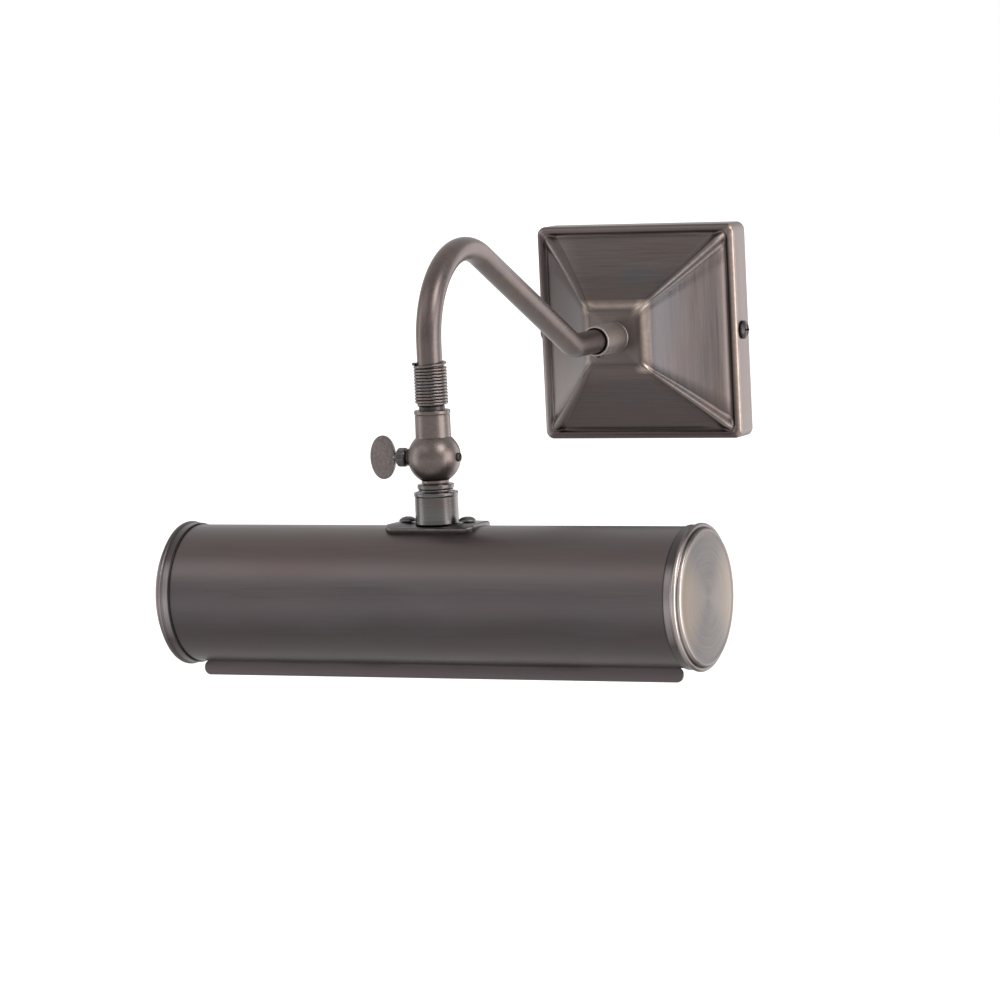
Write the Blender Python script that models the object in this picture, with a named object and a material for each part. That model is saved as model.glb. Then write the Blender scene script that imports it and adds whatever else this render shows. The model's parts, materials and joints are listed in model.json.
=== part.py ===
"""Swan-neck picture light with a slotted tubular shade.

The wall is the plane Y = 0 and the light reaches out along -Y, with +X to the
right and +Z up. The origin is the centre of the wall bracket's back face.
All sizes below are in millimetres; MM turns them into metres.
"""
import math

import bmesh
import bpy
from mathutils import Vector

for old in list(bpy.data.objects):
    bpy.data.objects.remove(old)

MM = 0.001
GAP = 0.3                   # clearance between pieces that touch

# Driving dimensions
SHADE_WIDTH = 250.0         # over the two end caps
SHADE_RADIUS = 30.0         # outside of the shade tube
PLATE_HALF = 50.0           # half the side of the square wall plate
PLATE_RIM = 14.2            # depth of the plate's flat front rim
APEX_DEPTH = 41.0           # depth of the plate's flat apex
COLLAR_MOUTH = 63.3         # depth of the collar's open end
PROJECTION = 236.3          # wall to the arm's vertical end
ARM_RADIUS = 5.45
ARM_BORE = 4.45
HOOK_RADIUS = 38.0          # centre-line radius of the arm's hook
ARM_SLOPE = math.radians(27.0)
BALL_DROP = 34.85           # collar axis down to the ball's centre
BALL_RADIUS = 11.5
SHADE_DROP = 94.5           # collar axis down to the shade's axis
SWIVEL_SWEEP = 330.0        # degrees of the swivel's stop groove

# Sheet and fit sizes that several pieces share
PLATE_SKIN = 1.3
SHADE_WALL = 1.0
SADDLE_THICK = 1.4
SADDLE_SCREWS = (("left", -14.2), ("right", 14.2))
SCREW_SHANK = 1.8
SCREW_HOLE = 2.1
STUD_RADIUS = 4.9
STUD_HOLE = 5.2
SHOULDER_Z = -12.6          # top of the upper knuckle's shoulder, under the coil
SLEEVE_Z = -14.35           # top of the sleeve


# ---------------------------------------------------------------- materials

def finish_material(name, colour, roughness, metallic):
    made = bpy.data.materials.new(name)
    made.use_nodes = True
    shader = made.node_tree.nodes["Principled BSDF"]
    shader.inputs["Base Color"].default_value = (*colour, 1.0)
    shader.inputs["Roughness"].default_value = roughness
    shader.inputs["Metallic"].default_value = metallic
    return made


BRONZE = (0.125, 0.095, 0.085)
DARK_BRONZE = (0.05, 0.042, 0.04)
STEEL = (0.55, 0.56, 0.58)
BRASS = (0.60, 0.44, 0.18)

FINISHES = {
    "plate_bronze": (BRONZE, 0.36, 1.0),
    "arm_bronze": (BRONZE, 0.32, 1.0),
    "shade_bronze": (BRONZE, 0.34, 1.0),
    "cap_bronze": ((0.16, 0.13, 0.12), 0.28, 1.0),
    "knuckle_bronze": (BRONZE, 0.30, 1.0),
    "fastener_dark": (DARK_BRONZE, 0.40, 1.0),
    "zinc_steel": (STEEL, 0.42, 1.0),
    "brass": (BRASS, 0.30, 1.0),
    "white_plastic": ((0.80, 0.80, 0.77), 0.45, 0.0),
    "lead_brown": ((0.20, 0.09, 0.04), 0.5, 0.0),
    "lead_blue": ((0.04, 0.13, 0.42), 0.5, 0.0),
    "lead_green": ((0.10, 0.35, 0.10), 0.5, 0.0),
    "flex_sheath": ((0.75, 0.74, 0.70), 0.5, 0.0),
    "clear_glass": ((0.95, 0.96, 0.96), 0.03, 0.0),
    "filament": ((0.35, 0.33, 0.30), 0.35, 1.0),
}
MATERIALS = {name: finish_material(name, *look) for name, look in FINISHES.items()}


# ------------------------------------------------------------ modelling tools

TURN = {                    # local +Z laid along the named direction
    "+Z": (0.0, 0.0, 0.0),
    "-Y": (math.pi / 2, 0.0, 0.0),
    "+X": (0.0, math.pi / 2, 0.0),
    "-X": (0.0, -math.pi / 2, 0.0),
}


def pivot(name, place, parent=None):
    """An empty on a joint's axis; the pieces that move about it hang from it."""
    empty = bpy.data.objects.new(name, None)
    empty.location = Vector(place) * MM
    empty.empty_display_size = 0.01
    empty.parent = parent
    bpy.context.collection.objects.link(empty)
    return empty


def make(name, bm, finish=None, parent=None, place=(0, 0, 0), along="+Z", sharp=32.0):
    """Turn a bmesh in millimetres into an object; no finish makes it a cutter."""
    bmesh.ops.scale(bm, vec=(MM, MM, MM), verts=bm.verts)
    bmesh.ops.recalc_face_normals(bm, faces=bm.faces)
    mesh = bpy.data.meshes.new(name)
    bm.to_mesh(mesh)
    bm.free()
    mesh.shade_smooth()
    mesh.set_sharp_from_angle(angle=math.radians(sharp))
    piece = bpy.data.objects.new(name, mesh)
    piece.location = Vector(place) * MM
    piece.rotation_euler = TURN[along]
    piece.parent = parent
    bpy.context.collection.objects.link(piece)
    if finish:
        mesh.materials.append(MATERIALS[finish])
    else:
        piece.hide_render = True
        piece.display_type = "WIRE"
    return piece


def combine(piece, other, operation="DIFFERENCE"):
    """Cut, join or intersect a piece with a hidden helper."""
    step = piece.modifiers.new(other.name, "BOOLEAN")
    step.operation = operation
    step.solver = "EXACT"
    step.object = other


def turned(name, profile, finish=None, steps=24, closed=False, sweep=360.0, **where):
    """Spin a (radius, height) profile about local Z; closed makes a ring."""
    bm = bmesh.new()
    verts = [bm.verts.new((r, 0, h)) for r, h in profile]
    edges = [bm.edges.new(pair) for pair in zip(verts, verts[1:])]
    if closed:
        edges.append(bm.edges.new((verts[-1], verts[0])))
    geom = verts + edges
    if sweep < 360.0:
        geom.append(bm.faces.new(verts))
    bmesh.ops.spin(bm, geom=geom, cent=(0, 0, 0), axis=(0, 0, 1), steps=steps,
                   angle=math.radians(sweep), use_merge=sweep == 360.0)
    bmesh.ops.remove_doubles(bm, verts=bm.verts, dist=1e-5)
    return make(name, bm, finish, **where)


def rod(name, radius, low, high, finish=None, steps=20, **where):
    """A plain round bar from low to high along local Z."""
    return turned(name, [(0, low), (radius, low), (radius, high), (0, high)], finish, steps, **where)


def hexagon(across):
    """Distance from the centre to a hexagon's side, at an angle."""
    def reach(angle):
        folded = (angle + math.pi / 6) % (math.pi / 3) - math.pi / 6
        return across / 2 / math.cos(folded)
    return reach


def nut(name, across, bore, low, high, finish, steps=24, **where):
    """A hexagon ring with a round bore, from low to high along local Z."""
    bm = bmesh.new()
    reach = hexagon(across)
    rings = []
    for height, inside in ((low, False), (high, False), (high, True), (low, True)):
        ring = []
        for k in range(steps):
            angle = 2 * math.pi * k / steps
            r = bore if inside else reach(angle)
            ring.append(bm.verts.new((r * math.cos(angle), r * math.sin(angle), height)))
        rings.append(ring)
    bridge_rings(bm, rings, closed=True)
    return make(name, bm, finish, **where)


def bridge_rings(bm, rings, closed=False):
    """Join a row of equal rings of vertices with quads; closed joins last to first."""
    pairs = list(zip(rings, rings[1:]))
    if closed:
        pairs.append((rings[-1], rings[0]))
    for one, two in pairs:
        for k in range(len(one)):
            m = (k + 1) % len(one)
            bm.faces.new((one[k], one[m], two[m], two[k]))


def extruded(name, outline, low, high, finish=None, **where):
    """Extrude a closed outline of (x, y) points from low to high along local Z."""
    bm = bmesh.new()
    base = bm.faces.new([bm.verts.new((x, y, low)) for x, y in outline])
    grown = bmesh.ops.extrude_face_region(bm, geom=[base])
    lifted = [v for v in grown["geom"] if isinstance(v, bmesh.types.BMVert)]
    bmesh.ops.translate(bm, vec=(0, 0, high - low), verts=lifted)
    return make(name, bm, finish, **where)


def rounded_rectangle(half_x, half_y, radius, steps=4, centre=(0, 0)):
    """Corner arcs of a rounded rectangle, anticlockwise."""
    points = []
    for k, (sx, sy) in enumerate(((1, 1), (-1, 1), (-1, -1), (1, -1))):
        for j in range(steps + 1):
            angle = math.pi / 2 * (k + j / steps)
            points.append((centre[0] + sx * (half_x - radius) + radius * math.cos(angle),
                           centre[1] + sy * (half_y - radius) + radius * math.sin(angle)))
    return points


def block(name, low, high, finish=None, **where):
    """A plain box between two corners."""
    outline = [(low[0], low[1]), (high[0], low[1]), (high[0], high[1]), (low[0], high[1])]
    return extruded(name, outline, low[2], high[2], finish, **where)


def bevel(piece, width, segments=2, angle=40.0):
    step = piece.modifiers.new("edges", "BEVEL")
    step.width = width * MM
    step.segments = segments
    step.limit_method = "ANGLE"
    step.angle_limit = math.radians(angle)


def swept(name, path, rings_at, finish, **where):
    """Carry one or two circles along a path; rings_at gives their radii and sides."""
    bm = bmesh.new()
    outer, *bores = [carried_rings(bm, path, radius, sides) for radius, sides in rings_at]
    bridge_rings(bm, outer)
    if bores:
        inner = bores[0]
        bridge_rings(bm, inner)
        bridge_rings(bm, [outer[0], inner[0]])
        bridge_rings(bm, [outer[-1], inner[-1]])
    else:
        bm.faces.new(outer[0])
        bm.faces.new(outer[-1])
    return make(name, bm, finish, **where)


def carried_rings(bm, path, radius, sides):
    """A circle of vertices square to the path at each of its points."""
    path = [Vector(p) for p in path]
    rings = []
    side = None
    for k, point in enumerate(path):
        ahead = path[min(k + 1, len(path) - 1)] - path[max(k - 1, 0)]
        ahead.normalize()
        if side is None:
            side = ahead.orthogonal().normalized()
        side = (side - ahead * side.dot(ahead)).normalized()
        up = ahead.cross(side)
        ring = []
        for j in range(sides):
            angle = 2 * math.pi * j / sides
            ring.append(bm.verts.new(point + radius * (side * math.cos(angle) + up * math.sin(angle))))
        rings.append(ring)
    return rings


def smooth_route(points, spacing=2.5):
    """Points along a Catmull-Rom curve through the given ones."""
    points = [Vector(p) for p in points]
    row = [points[0]] + points + [points[-1]]
    route = []
    for a, b, c, d in zip(row, row[1:], row[2:], row[3:]):
        count = max(2, round((c - b).length / spacing))
        for k in range(count):
            t = k / count
            route.append(0.5 * ((2 * b) + (c - a) * t + (2 * a - 5 * b + 4 * c - d) * t ** 2
                                + (3 * b - a - 3 * c + d) * t ** 3))
    route.append(points[-1])
    return route


def insulated_lead(name, points, radius, finish, spacing=4.0, **where):
    """A round insulated lead along a smooth route."""
    return swept(name, smooth_route(points, spacing), [(radius, 8)], finish, **where)


# ------------------------------------------------------------------ wall plate

RIB_CREST = 0.62                              # where the rib meets its groove, in half-widths
RIB_FOOT = 1.35                               # and where the groove meets the panel
RIB_SAMPLES = (0.0, 0.3, RIB_CREST, 0.95, RIB_FOOT)
SIDE_SAMPLES = (0.5, 1.0)                     # from the rib's edge to the middle of the side
PANEL_OUTER = (43.6, 15.5)                    # half-size and depth of the panel's outer edge
PANEL_INNER = (15.8, 39.9)                    # and of its inner edge
RIB_OUTER = 3.4                               # rib half-width at the rim
RIB_INNER = 1.3                               # and at the apex
RIB_HEIGHT = 1.2
RIB_GROOVE = 0.45
NIPPLE_HOLE = 5.2


def rib_width(half):
    """Half-width of the diagonal rib where the panels' ring has this half-size."""
    share = (half - PANEL_INNER[0]) / (PANEL_OUTER[0] - PANEL_INNER[0])
    return RIB_INNER + (RIB_OUTER - RIB_INNER) * min(1.0, max(0.0, share))


def rib_rise(q):
    """Height of the diagonal rib at q half-widths from the mitre."""
    if q < RIB_CREST:
        return RIB_HEIGHT * math.cos(math.pi / 2 * q / RIB_CREST)
    return -RIB_GROOVE * math.sin(math.pi * (q - RIB_CREST) / (RIB_FOOT - RIB_CREST))


def plate_ring(bm, half, depth, corner, rib=0.0, round_hole=False):
    """One square ring of the plate, with its ribs raised where rib is not 0."""
    width = rib_width(half)
    near = [q * width * math.sqrt(2) for q in RIB_SAMPLES]
    rest = [near[-1] + (half - near[-1]) * t for t in SIDE_SAMPLES]
    rises = [rib * rib_rise(q) * width / RIB_OUTER for q in RIB_SAMPLES] + [0.0] * len(rest)
    stations = list(zip(near + rest, rises))
    before = stations[::-1]
    after = stations[1:-1]
    ring = []
    for quarter in range(4):
        turn = math.pi / 2 * quarter
        for run, flip in ((before, False), (after, True)):
            for s, rise in run:
                x, z = corner_point(half, s, corner)
                if round_hole:
                    angle = math.atan2(half - s, half)
                    x, z = half * math.cos(angle), half * math.sin(angle)
                if flip:
                    x, z = z, x
                ring.append(bm.verts.new((x * math.cos(turn) - z * math.sin(turn), -depth - rise,
                                          x * math.sin(turn) + z * math.cos(turn))))
    return ring


def corner_point(half, s, corner):
    """A point s along the side from the corner, pulled in where the corner is round."""
    if s >= corner:
        return half, half - s
    angle = math.pi / 4 * (1 - s / corner)
    centre = half - corner
    return centre + corner * math.cos(angle), centre + corner * math.sin(angle)


def wall_plate(parent):
    """Pressed square cover: side wall, flat rim, groove, four panels, ribs and apex.

    Each ring is (half-size, depth, corner radius) and, where the ribs rise, their share.
    """
    bm = bmesh.new()
    side = [(PLATE_HALF, 0.0, 4.0), (PLATE_HALF, 12.4, 4.0), (PLATE_HALF - 0.6, 13.7, 3.8),
            (PLATE_HALF - 1.9, PLATE_RIM, 3.3), (46.9, PLATE_RIM, 2.4), (46.0, 13.1, 1.4),
            (45.3, 13.3, 0.8)]
    rings = [plate_ring(bm, *station) for station in side]
    rings.append(plate_ring(bm, 44.6, 14.5, 0.5, 0.9))
    for share in (0.0, 0.5, 1.0):
        half, depth = (a + (b - a) * share for a, b in zip(PANEL_OUTER, PANEL_INNER))
        rings.append(plate_ring(bm, half, depth, 0.3, 1.0))
    rings.append(plate_ring(bm, 15.1, 40.5, 0.6, 0.7))
    rings.append(plate_ring(bm, 14.0, APEX_DEPTH, 1.2))
    rings.append(plate_ring(bm, NIPPLE_HOLE, APEX_DEPTH, 0.0, round_hole=True))
    rings.append(plate_ring(bm, NIPPLE_HOLE, APEX_DEPTH - PLATE_SKIN, 0.0, round_hole=True))
    inside = [(13.2, APEX_DEPTH - PLATE_SKIN, 1.2), (15.0, 38.7, 0.4), (43.0, 14.2, 0.4),
              (44.4, 12.2, 0.8), (47.6, 11.9, 2.0), (48.7, 10.6, 2.8), (48.7, 0.0, 2.8)]
    rings += [plate_ring(bm, *station) for station in inside]
    bridge_rings(bm, rings, closed=True)
    plate = make("wall_plate", bm, "plate_bronze", parent, sharp=38)
    combine(plate, rod("cut_side_screw_holes", 2.2, -PLATE_HALF - 5, PLATE_HALF + 5,
                       parent=parent, place=(0, -SIDE_SCREW_Y, 0), along="+X"))
    return plate


# --------------------------------------------------- bracket and its fastenings

SIDE_SCREW_Y = 7.0
STRAP_HALF = 10.0
STRAP_THICK = 2.0
TAB_OUTER = 48.1
TAB_DEPTH = 10.6
EARTH_X = 38.0
SLOT_X = 25.0


def wall_bracket(parent):
    """Steel strap with two bent tabs; its middle is solid against the wall."""
    inner = TAB_OUTER - STRAP_THICK
    outline = [(-TAB_OUTER, 0), (TAB_OUTER, 0), (TAB_OUTER, -TAB_DEPTH), (inner, -TAB_DEPTH),
               (inner, -STRAP_THICK), (-inner, -STRAP_THICK), (-inner, -TAB_DEPTH),
               (-TAB_OUTER, -TAB_DEPTH)]
    strap = extruded("wall_bracket", outline, -STRAP_HALF, STRAP_HALF, "zinc_steel", parent=parent)
    bevel(strap, 0.5, 1)
    slots = []
    for side in (-1, 1):
        slots.append(extruded("cut_bracket_slot_%d" % (side + 1), rounded_rectangle(5.5, 2.5, 2.49),
                              -1, STRAP_THICK + 1, parent=parent, place=(SLOT_X * side, 0, 0),
                              along="-Y"))
    earth = rod("cut_earth_hole", SCREW_HOLE, -1, STRAP_THICK + 1, steps=12,
                parent=parent, place=(EARTH_X, 0, 0), along="-Y")
    tabs = rod("cut_tab_holes", SCREW_HOLE, -60, 60, steps=12,
               parent=parent, place=(0, -SIDE_SCREW_Y, 0), along="+X")
    for cutter in (*slots, earth, tabs):
        combine(strap, cutter)


def machine_screw(name, head_radius, head_height, length, finish, slot_length, steps=14, **where):
    """Pan-head screw: shank along -Z, head above Z = 0, with a cross recess."""
    edge = 0.35 * head_height
    profile = [(0, -length), (SCREW_SHANK - 0.3, -length), (SCREW_SHANK, -length + 0.4), (SCREW_SHANK, 0),
               (head_radius, 0), (head_radius, edge), (head_radius * 0.86, head_height * 0.82),
               (head_radius * 0.5, head_height), (0, head_height)]
    screw = turned(name, profile, finish, steps, **where)
    depth = head_height * 0.55
    for k, (dx, dy) in enumerate(((slot_length, 0.45), (0.45, slot_length))):
        combine(screw, block("cut_%s_%d" % (name, k), (-dx, -dy, head_height - depth),
                             (dx, dy, head_height + 1), **where))
    return screw


def plate_fastenings(parent):
    """The two screws through the plate's side wall and the earth screw on the strap."""
    reach = PLATE_HALF + GAP
    machine_screw("side_screw_right", 4.3, 2.2, 7.5, "fastener_dark", 2.3, parent=parent,
                  place=(reach, -SIDE_SCREW_Y, 0), along="+X")
    machine_screw("side_screw_left", 4.3, 2.2, 7.5, "fastener_dark", 2.3, parent=parent,
                  place=(-reach, -SIDE_SCREW_Y, 0), along="-X")
    machine_screw("earth_screw", 3.2, 2.0, STRAP_THICK, "brass", 1.8, steps=14, parent=parent,
                  place=(EARTH_X, -STRAP_THICK - GAP, 0), along="-Y")


# ---------------------------------------------------------------------- collar

COLLAR_RADIUS = 6.9
COLLAR_BORE = 6.05
NIPPLE_RADIUS = 4.9
NIPPLE_BORE = 3.4
NIPPLE_END = 31.5
COLLAR_FLOOR = 45.0
GRUB_Y = 59.0


def collar(parent):
    """Turned boss that takes the arm, with a threaded nipple through the apex."""
    base = APEX_DEPTH + GAP
    profile = [(NIPPLE_BORE, NIPPLE_END), (NIPPLE_RADIUS, NIPPLE_END), (NIPPLE_RADIUS, base),
               (COLLAR_RADIUS, base), (COLLAR_RADIUS, COLLAR_MOUTH - 0.5),
               (COLLAR_RADIUS - 0.3, COLLAR_MOUTH), (COLLAR_BORE, COLLAR_MOUTH),
               (COLLAR_BORE, COLLAR_FLOOR), (NIPPLE_BORE, COLLAR_FLOOR)]
    boss = turned("plate_collar", profile, "arm_bronze", closed=True, parent=parent, along="-Y")
    combine(boss, rod("cut_grub_hole", 2.0, -9, -3, steps=14, parent=parent, place=(0, -GRUB_Y, 0)))
    grub = [(0, -7.1), (0.9, -7.1), (0.9, -7.9), (1.5, -7.9), (1.7, -7.6), (1.7, -5.9),
            (1.0, -5.75), (0, -5.75)]
    turned("collar_grub_screw", grub, "fastener_dark", 12, parent=parent, place=(0, -GRUB_Y, 0))
    inside = APEX_DEPTH - PLATE_SKIN - GAP
    under = inside - 1.0
    ring = [(STUD_HOLE, under), (9.0, under), (9.0, inside), (STUD_HOLE, inside)]
    turned("collar_washer", ring, "zinc_steel", 20, closed=True, parent=parent, along="-Y")
    nut("collar_nut", 14.0, STUD_HOLE, under - GAP - 3.5, under - GAP, "brass", parent=parent,
        along="-Y")


# ------------------------------------------------------------- wiring in the plate

BLOCK_BACK = STRAP_THICK + GAP
BLOCK_FRONT = 13.0
POLE_PITCH = 9.0
WELL_Z = 3.8                # height of the screw wells over the block's middle
PORT_Y = -BLOCK_BACK - 5.0  # depth of the wire ports
LEAD_CIRCLE = 1.75          # the three cores lie on this circle inside the nipple
POLES = (("live", -1, "lead_brown"), ("neutral", 0, "lead_blue"), ("earth", 1, "lead_green"))


def terminals(parent):
    """Three-pole terminal block on the strap, its screws and the three leads."""
    half_x = 1.5 * POLE_PITCH + 0.6
    body = block("terminal_block", (-half_x, -8.5, BLOCK_BACK), (half_x, 8.5, BLOCK_FRONT),
                 "white_plastic", parent=parent, along="-Y")
    bevel(body, 0.8, 1)
    for name, slot, finish in POLES:
        x = slot * POLE_PITCH
        combine(body, rod("cut_well_" + name, 2.3, BLOCK_FRONT - 5.0, BLOCK_FRONT + 1, steps=12,
                          parent=parent, place=(x, 0, WELL_Z), along="-Y"))
        combine(body, rod("cut_port_" + name, 1.6, 3.0, 12.0, steps=12, parent=parent,
                          place=(x, PORT_Y, 0)))
        terminal_screw(name, (x, 1.0 - BLOCK_FRONT, WELL_Z), parent)
        lead(name, x, math.radians(90 - 120 * slot), finish, parent)


def terminal_screw(name, place, parent):
    """Slotted screw sunk in one well of the block."""
    screw = turned("terminal_screw_" + name, [(0, -3.6), (1.9, -3.6), (1.9, -0.4), (1.5, 0), (0, 0)],
                   "brass", 12, parent=parent, place=place, along="-Y")
    combine(screw, block("cut_screw_slot_" + name, (-3, -0.35, -0.7), (3, 0.35, 1), parent=parent,
                         place=place, along="-Y"))


def lead(name, x, angle, finish, parent):
    """One core from its port, up and forward into the nipple, where angle is its place."""
    bore_x = LEAD_CIRCLE * math.cos(angle)
    bore_z = LEAD_CIRCLE * math.sin(angle)
    route = [(x, PORT_Y, 5.0), (x, PORT_Y, 9.5), (x, PORT_Y - 3.0, 12.8),
             (x * 0.8, PORT_Y - 9.0, 13.0), (x * 0.45 + bore_x * 0.5, -24.0, 7.5),
             (bore_x, -30.0, bore_z + 1.0), (bore_x, -35.0, bore_z),
             (bore_x, 0.5 - COLLAR_FLOOR, bore_z)]
    insulated_lead(name + "_lead", route, 1.05, finish, parent=parent)


# -------------------------------------------------------------------- the arm

ARM_START = 46.0            # depth of the arm's end inside the collar
LOWER_BEND = 18.0           # centre-line radius of the bend in front of the collar
KNEE_Y = 87.0               # where the sloping run would meet the collar's axis
ARM_END_Z = -12.2


def arc(centre, radius, start, end, steps):
    """Points of an arc in the Y-Z plane; angles in radians from +Y towards +Z."""
    points = []
    for k in range(steps + 1):
        angle = start + (end - start) * k / steps
        points.append(Vector((0, centre[0] + radius * math.cos(angle),
                              centre[1] + radius * math.sin(angle))))
    return points


def arm_path():
    """Collar, short bend, long slope up, hook, and straight down."""
    tangent = LOWER_BEND * math.tan(ARM_SLOPE / 2)
    bend = arc((-KNEE_Y + tangent, LOWER_BEND), LOWER_BEND, -math.pi / 2, -math.pi / 2 - ARM_SLOPE, 5)
    crossing = (PROJECTION - KNEE_Y) * math.tan(ARM_SLOPE)
    turn = math.pi / 2 + ARM_SLOPE
    hook_centre = (HOOK_RADIUS - PROJECTION, crossing - HOOK_RADIUS * math.tan(turn / 2))
    hook = arc(hook_centre, HOOK_RADIUS, math.pi - turn, math.pi, 16)
    return ([Vector((0, -ARM_START, 0))] + bend + hook + [Vector((0, -PROJECTION, ARM_END_Z))])


def arm(parent):
    """Bent tube with the flex inside it."""
    path = [point + Vector((0, COLLAR_MOUTH, 0)) for point in arm_path()]
    tube = swept("arm_tube", path, [(ARM_RADIUS, 12), (ARM_BORE, 12)], "arm_bronze", parent=parent,
                 sharp=60)
    pin_hole = rod("cut_stop_pin_hole", 1.2, -8, -2, steps=12, parent=parent,
                   place=(0, COLLAR_MOUTH - PROJECTION, STOP_Z), along="-X")
    pin_hole.rotation_euler = (-math.pi / 2, 0, 0)
    combine(tube, pin_hole)
    flex = path[:-1] + [Vector((0, path[-1].y, 12.0))]
    flex[0] = flex[0] + Vector((0, -1.5, 0))
    swept("arm_flex", flex, [(2.6, 8)], "flex_sheath", parent=parent, sharp=60)


def swivel_stop_pin(parent):
    """Pin through the arm's wall that runs in the swivel's stop groove."""
    rod("swivel_stop_pin", 1.0, 3.4, 5.3, "fastener_dark", 12, parent=parent,
        place=(0, COLLAR_MOUTH - PROJECTION, STOP_Z), along="-Y")


COIL_TURNS = 12.5
COIL_WIRE = 0.66
COIL_RADIUS = 6.5
COIL_BOTTOM = -11.5
COIL_TOP = 5.4


def coil(parent):
    """Close-wound spring round the arm's end."""
    steps = round(COIL_TURNS * 12)
    path = []
    for k in range(steps + 1):
        share = k / steps
        angle = 2 * math.pi * COIL_TURNS * share
        path.append(Vector((COIL_RADIUS * math.cos(angle), COIL_RADIUS * math.sin(angle),
                            COIL_BOTTOM + (COIL_TOP - COIL_BOTTOM) * share)))
    swept("coil_spring", path, [(COIL_WIRE, 4)], "arm_bronze", parent=parent,
          place=(0, COLLAR_MOUTH - PROJECTION, 0), sharp=60)


# ------------------------------------------------------------------ the knuckle

STOP_Z = -4.0               # height of the swivel's stop pin
STOP_TRACK = 1.5            # half the height of the groove it runs in
STEM_RADIUS = 4.1
SHOULDER_RADIUS = 6.7
STEM_TOP = 5.0
STEM_BORE = 2.4
LEAD_WAY = 1.8              # slanting way of the leads into the ball's chamber
LEAD_WAY_X = 2.4
CHAMBER_RADIUS = 6.2        # hollow round the clamp screw inside the ball
CHAMBER_DEPTH = 4.2
HALF_GAP = 0.15             # each half of the ball stands this far off the middle plane
CLEAR_FACE = 0.1            # and the sleeve or neck beside it stops this far off
CLEAR_RADIUS = BALL_RADIUS + 0.4
SCREW_CLEAR = 2.5


def half_ball(name, radius, side, gap, finish=None, parent=None):
    """Half of a ball on the +X (side 1) or -X side, its flat face gap off the middle."""
    start = math.asin(gap / radius)
    profile = [(0, gap)]
    for k in range(6):
        angle = start + (math.pi / 2 - start) * k / 6
        profile.append((radius * math.cos(angle), radius * math.sin(angle)))
    profile.append((0, radius))
    return turned(name, profile, finish, 20, parent=parent, along="+X" if side > 0 else "-X")


def upper_knuckle(swivel, ball):
    """Stem, shoulder and sleeve in one with the left half of the ball."""
    profile = [(0, STEM_TOP), (STEM_RADIUS - 0.4, STEM_TOP), (STEM_RADIUS, STEM_TOP - 0.4),
               (STEM_RADIUS, SHOULDER_Z), (SHOULDER_RADIUS, SHOULDER_Z), (SHOULDER_RADIUS, SLEEVE_Z),
               (7.5, SLEEVE_Z), (7.8, SLEEVE_Z - 0.4), (7.8, SLEEVE_Z - 1.5), (7.6, SLEEVE_Z - 1.9),
               (7.7, 5 - BALL_DROP), (7.0, 3 - BALL_DROP), (0, 3 - BALL_DROP)]
    body = turned("upper_knuckle", profile, "knuckle_bronze", parent=swivel)
    groove = [(STEM_RADIUS - 1.0, STOP_Z - STOP_TRACK), (STEM_RADIUS + 1.0, STOP_Z - STOP_TRACK),
              (STEM_RADIUS + 1.0, STOP_Z + STOP_TRACK), (STEM_RADIUS - 1.0, STOP_Z + STOP_TRACK)]
    track = turned("cut_stop_groove", groove, None, 22, closed=True, sweep=SWIVEL_SWEEP, parent=swivel)
    track.rotation_euler = (0, 0, math.radians(-90 - SWIVEL_SWEEP / 2))
    combine(body, track)
    combine(body, turned("cut_right_clearance", clearance_profile(), None, 20, parent=ball, along="+X"))
    combine(body, half_ball("join_left_half", BALL_RADIUS, -1, HALF_GAP, parent=ball), "UNION")
    chamber = turned("cut_left_chamber", chamber_profile(SCREW_CLEAR), None, 18, parent=ball,
                     along="-X")
    bore = rod("cut_stem_bore", STEM_BORE, SLEEVE_Z - 6.0, STEM_TOP + 1, steps=14, parent=swivel)
    way_down = rod("cut_sleeve_lead_way", LEAD_WAY, 4.0 - BALL_DROP, SLEEVE_Z - 5.0, steps=12,
                   parent=swivel, place=(-LEAD_WAY_X, 0, 0))
    for cutter in (chamber, bore, way_down):
        combine(body, cutter)


def clearance_profile():
    """Half ball that clears the other half, its flat face just past the middle plane."""
    profile = [(0, -CLEAR_FACE), (CLEAR_RADIUS, -CLEAR_FACE)]
    for k in range(6):
        angle = math.pi / 2 * k / 6
        profile.append((CLEAR_RADIUS * math.cos(angle), CLEAR_RADIUS * math.sin(angle)))
    profile.append((0, CLEAR_RADIUS))
    return profile


def chamber_profile(way):
    """Hollow for the flex inside one half, with the screw's or nut's way out of it."""
    return [(0, -1), (CHAMBER_RADIUS, -1), (CHAMBER_RADIUS, CHAMBER_DEPTH), (way, CHAMBER_DEPTH),
            (way, 20), (0, 20)]


NECK_RADIUS = 5.95
NECK_BOTTOM = BALL_DROP - 46.0      # below here every height is from the ball's centre
STUD_BOTTOM = BALL_DROP - 58.0
SHADE_Z = BALL_DROP - SHADE_DROP    # the shade's axis


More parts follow.
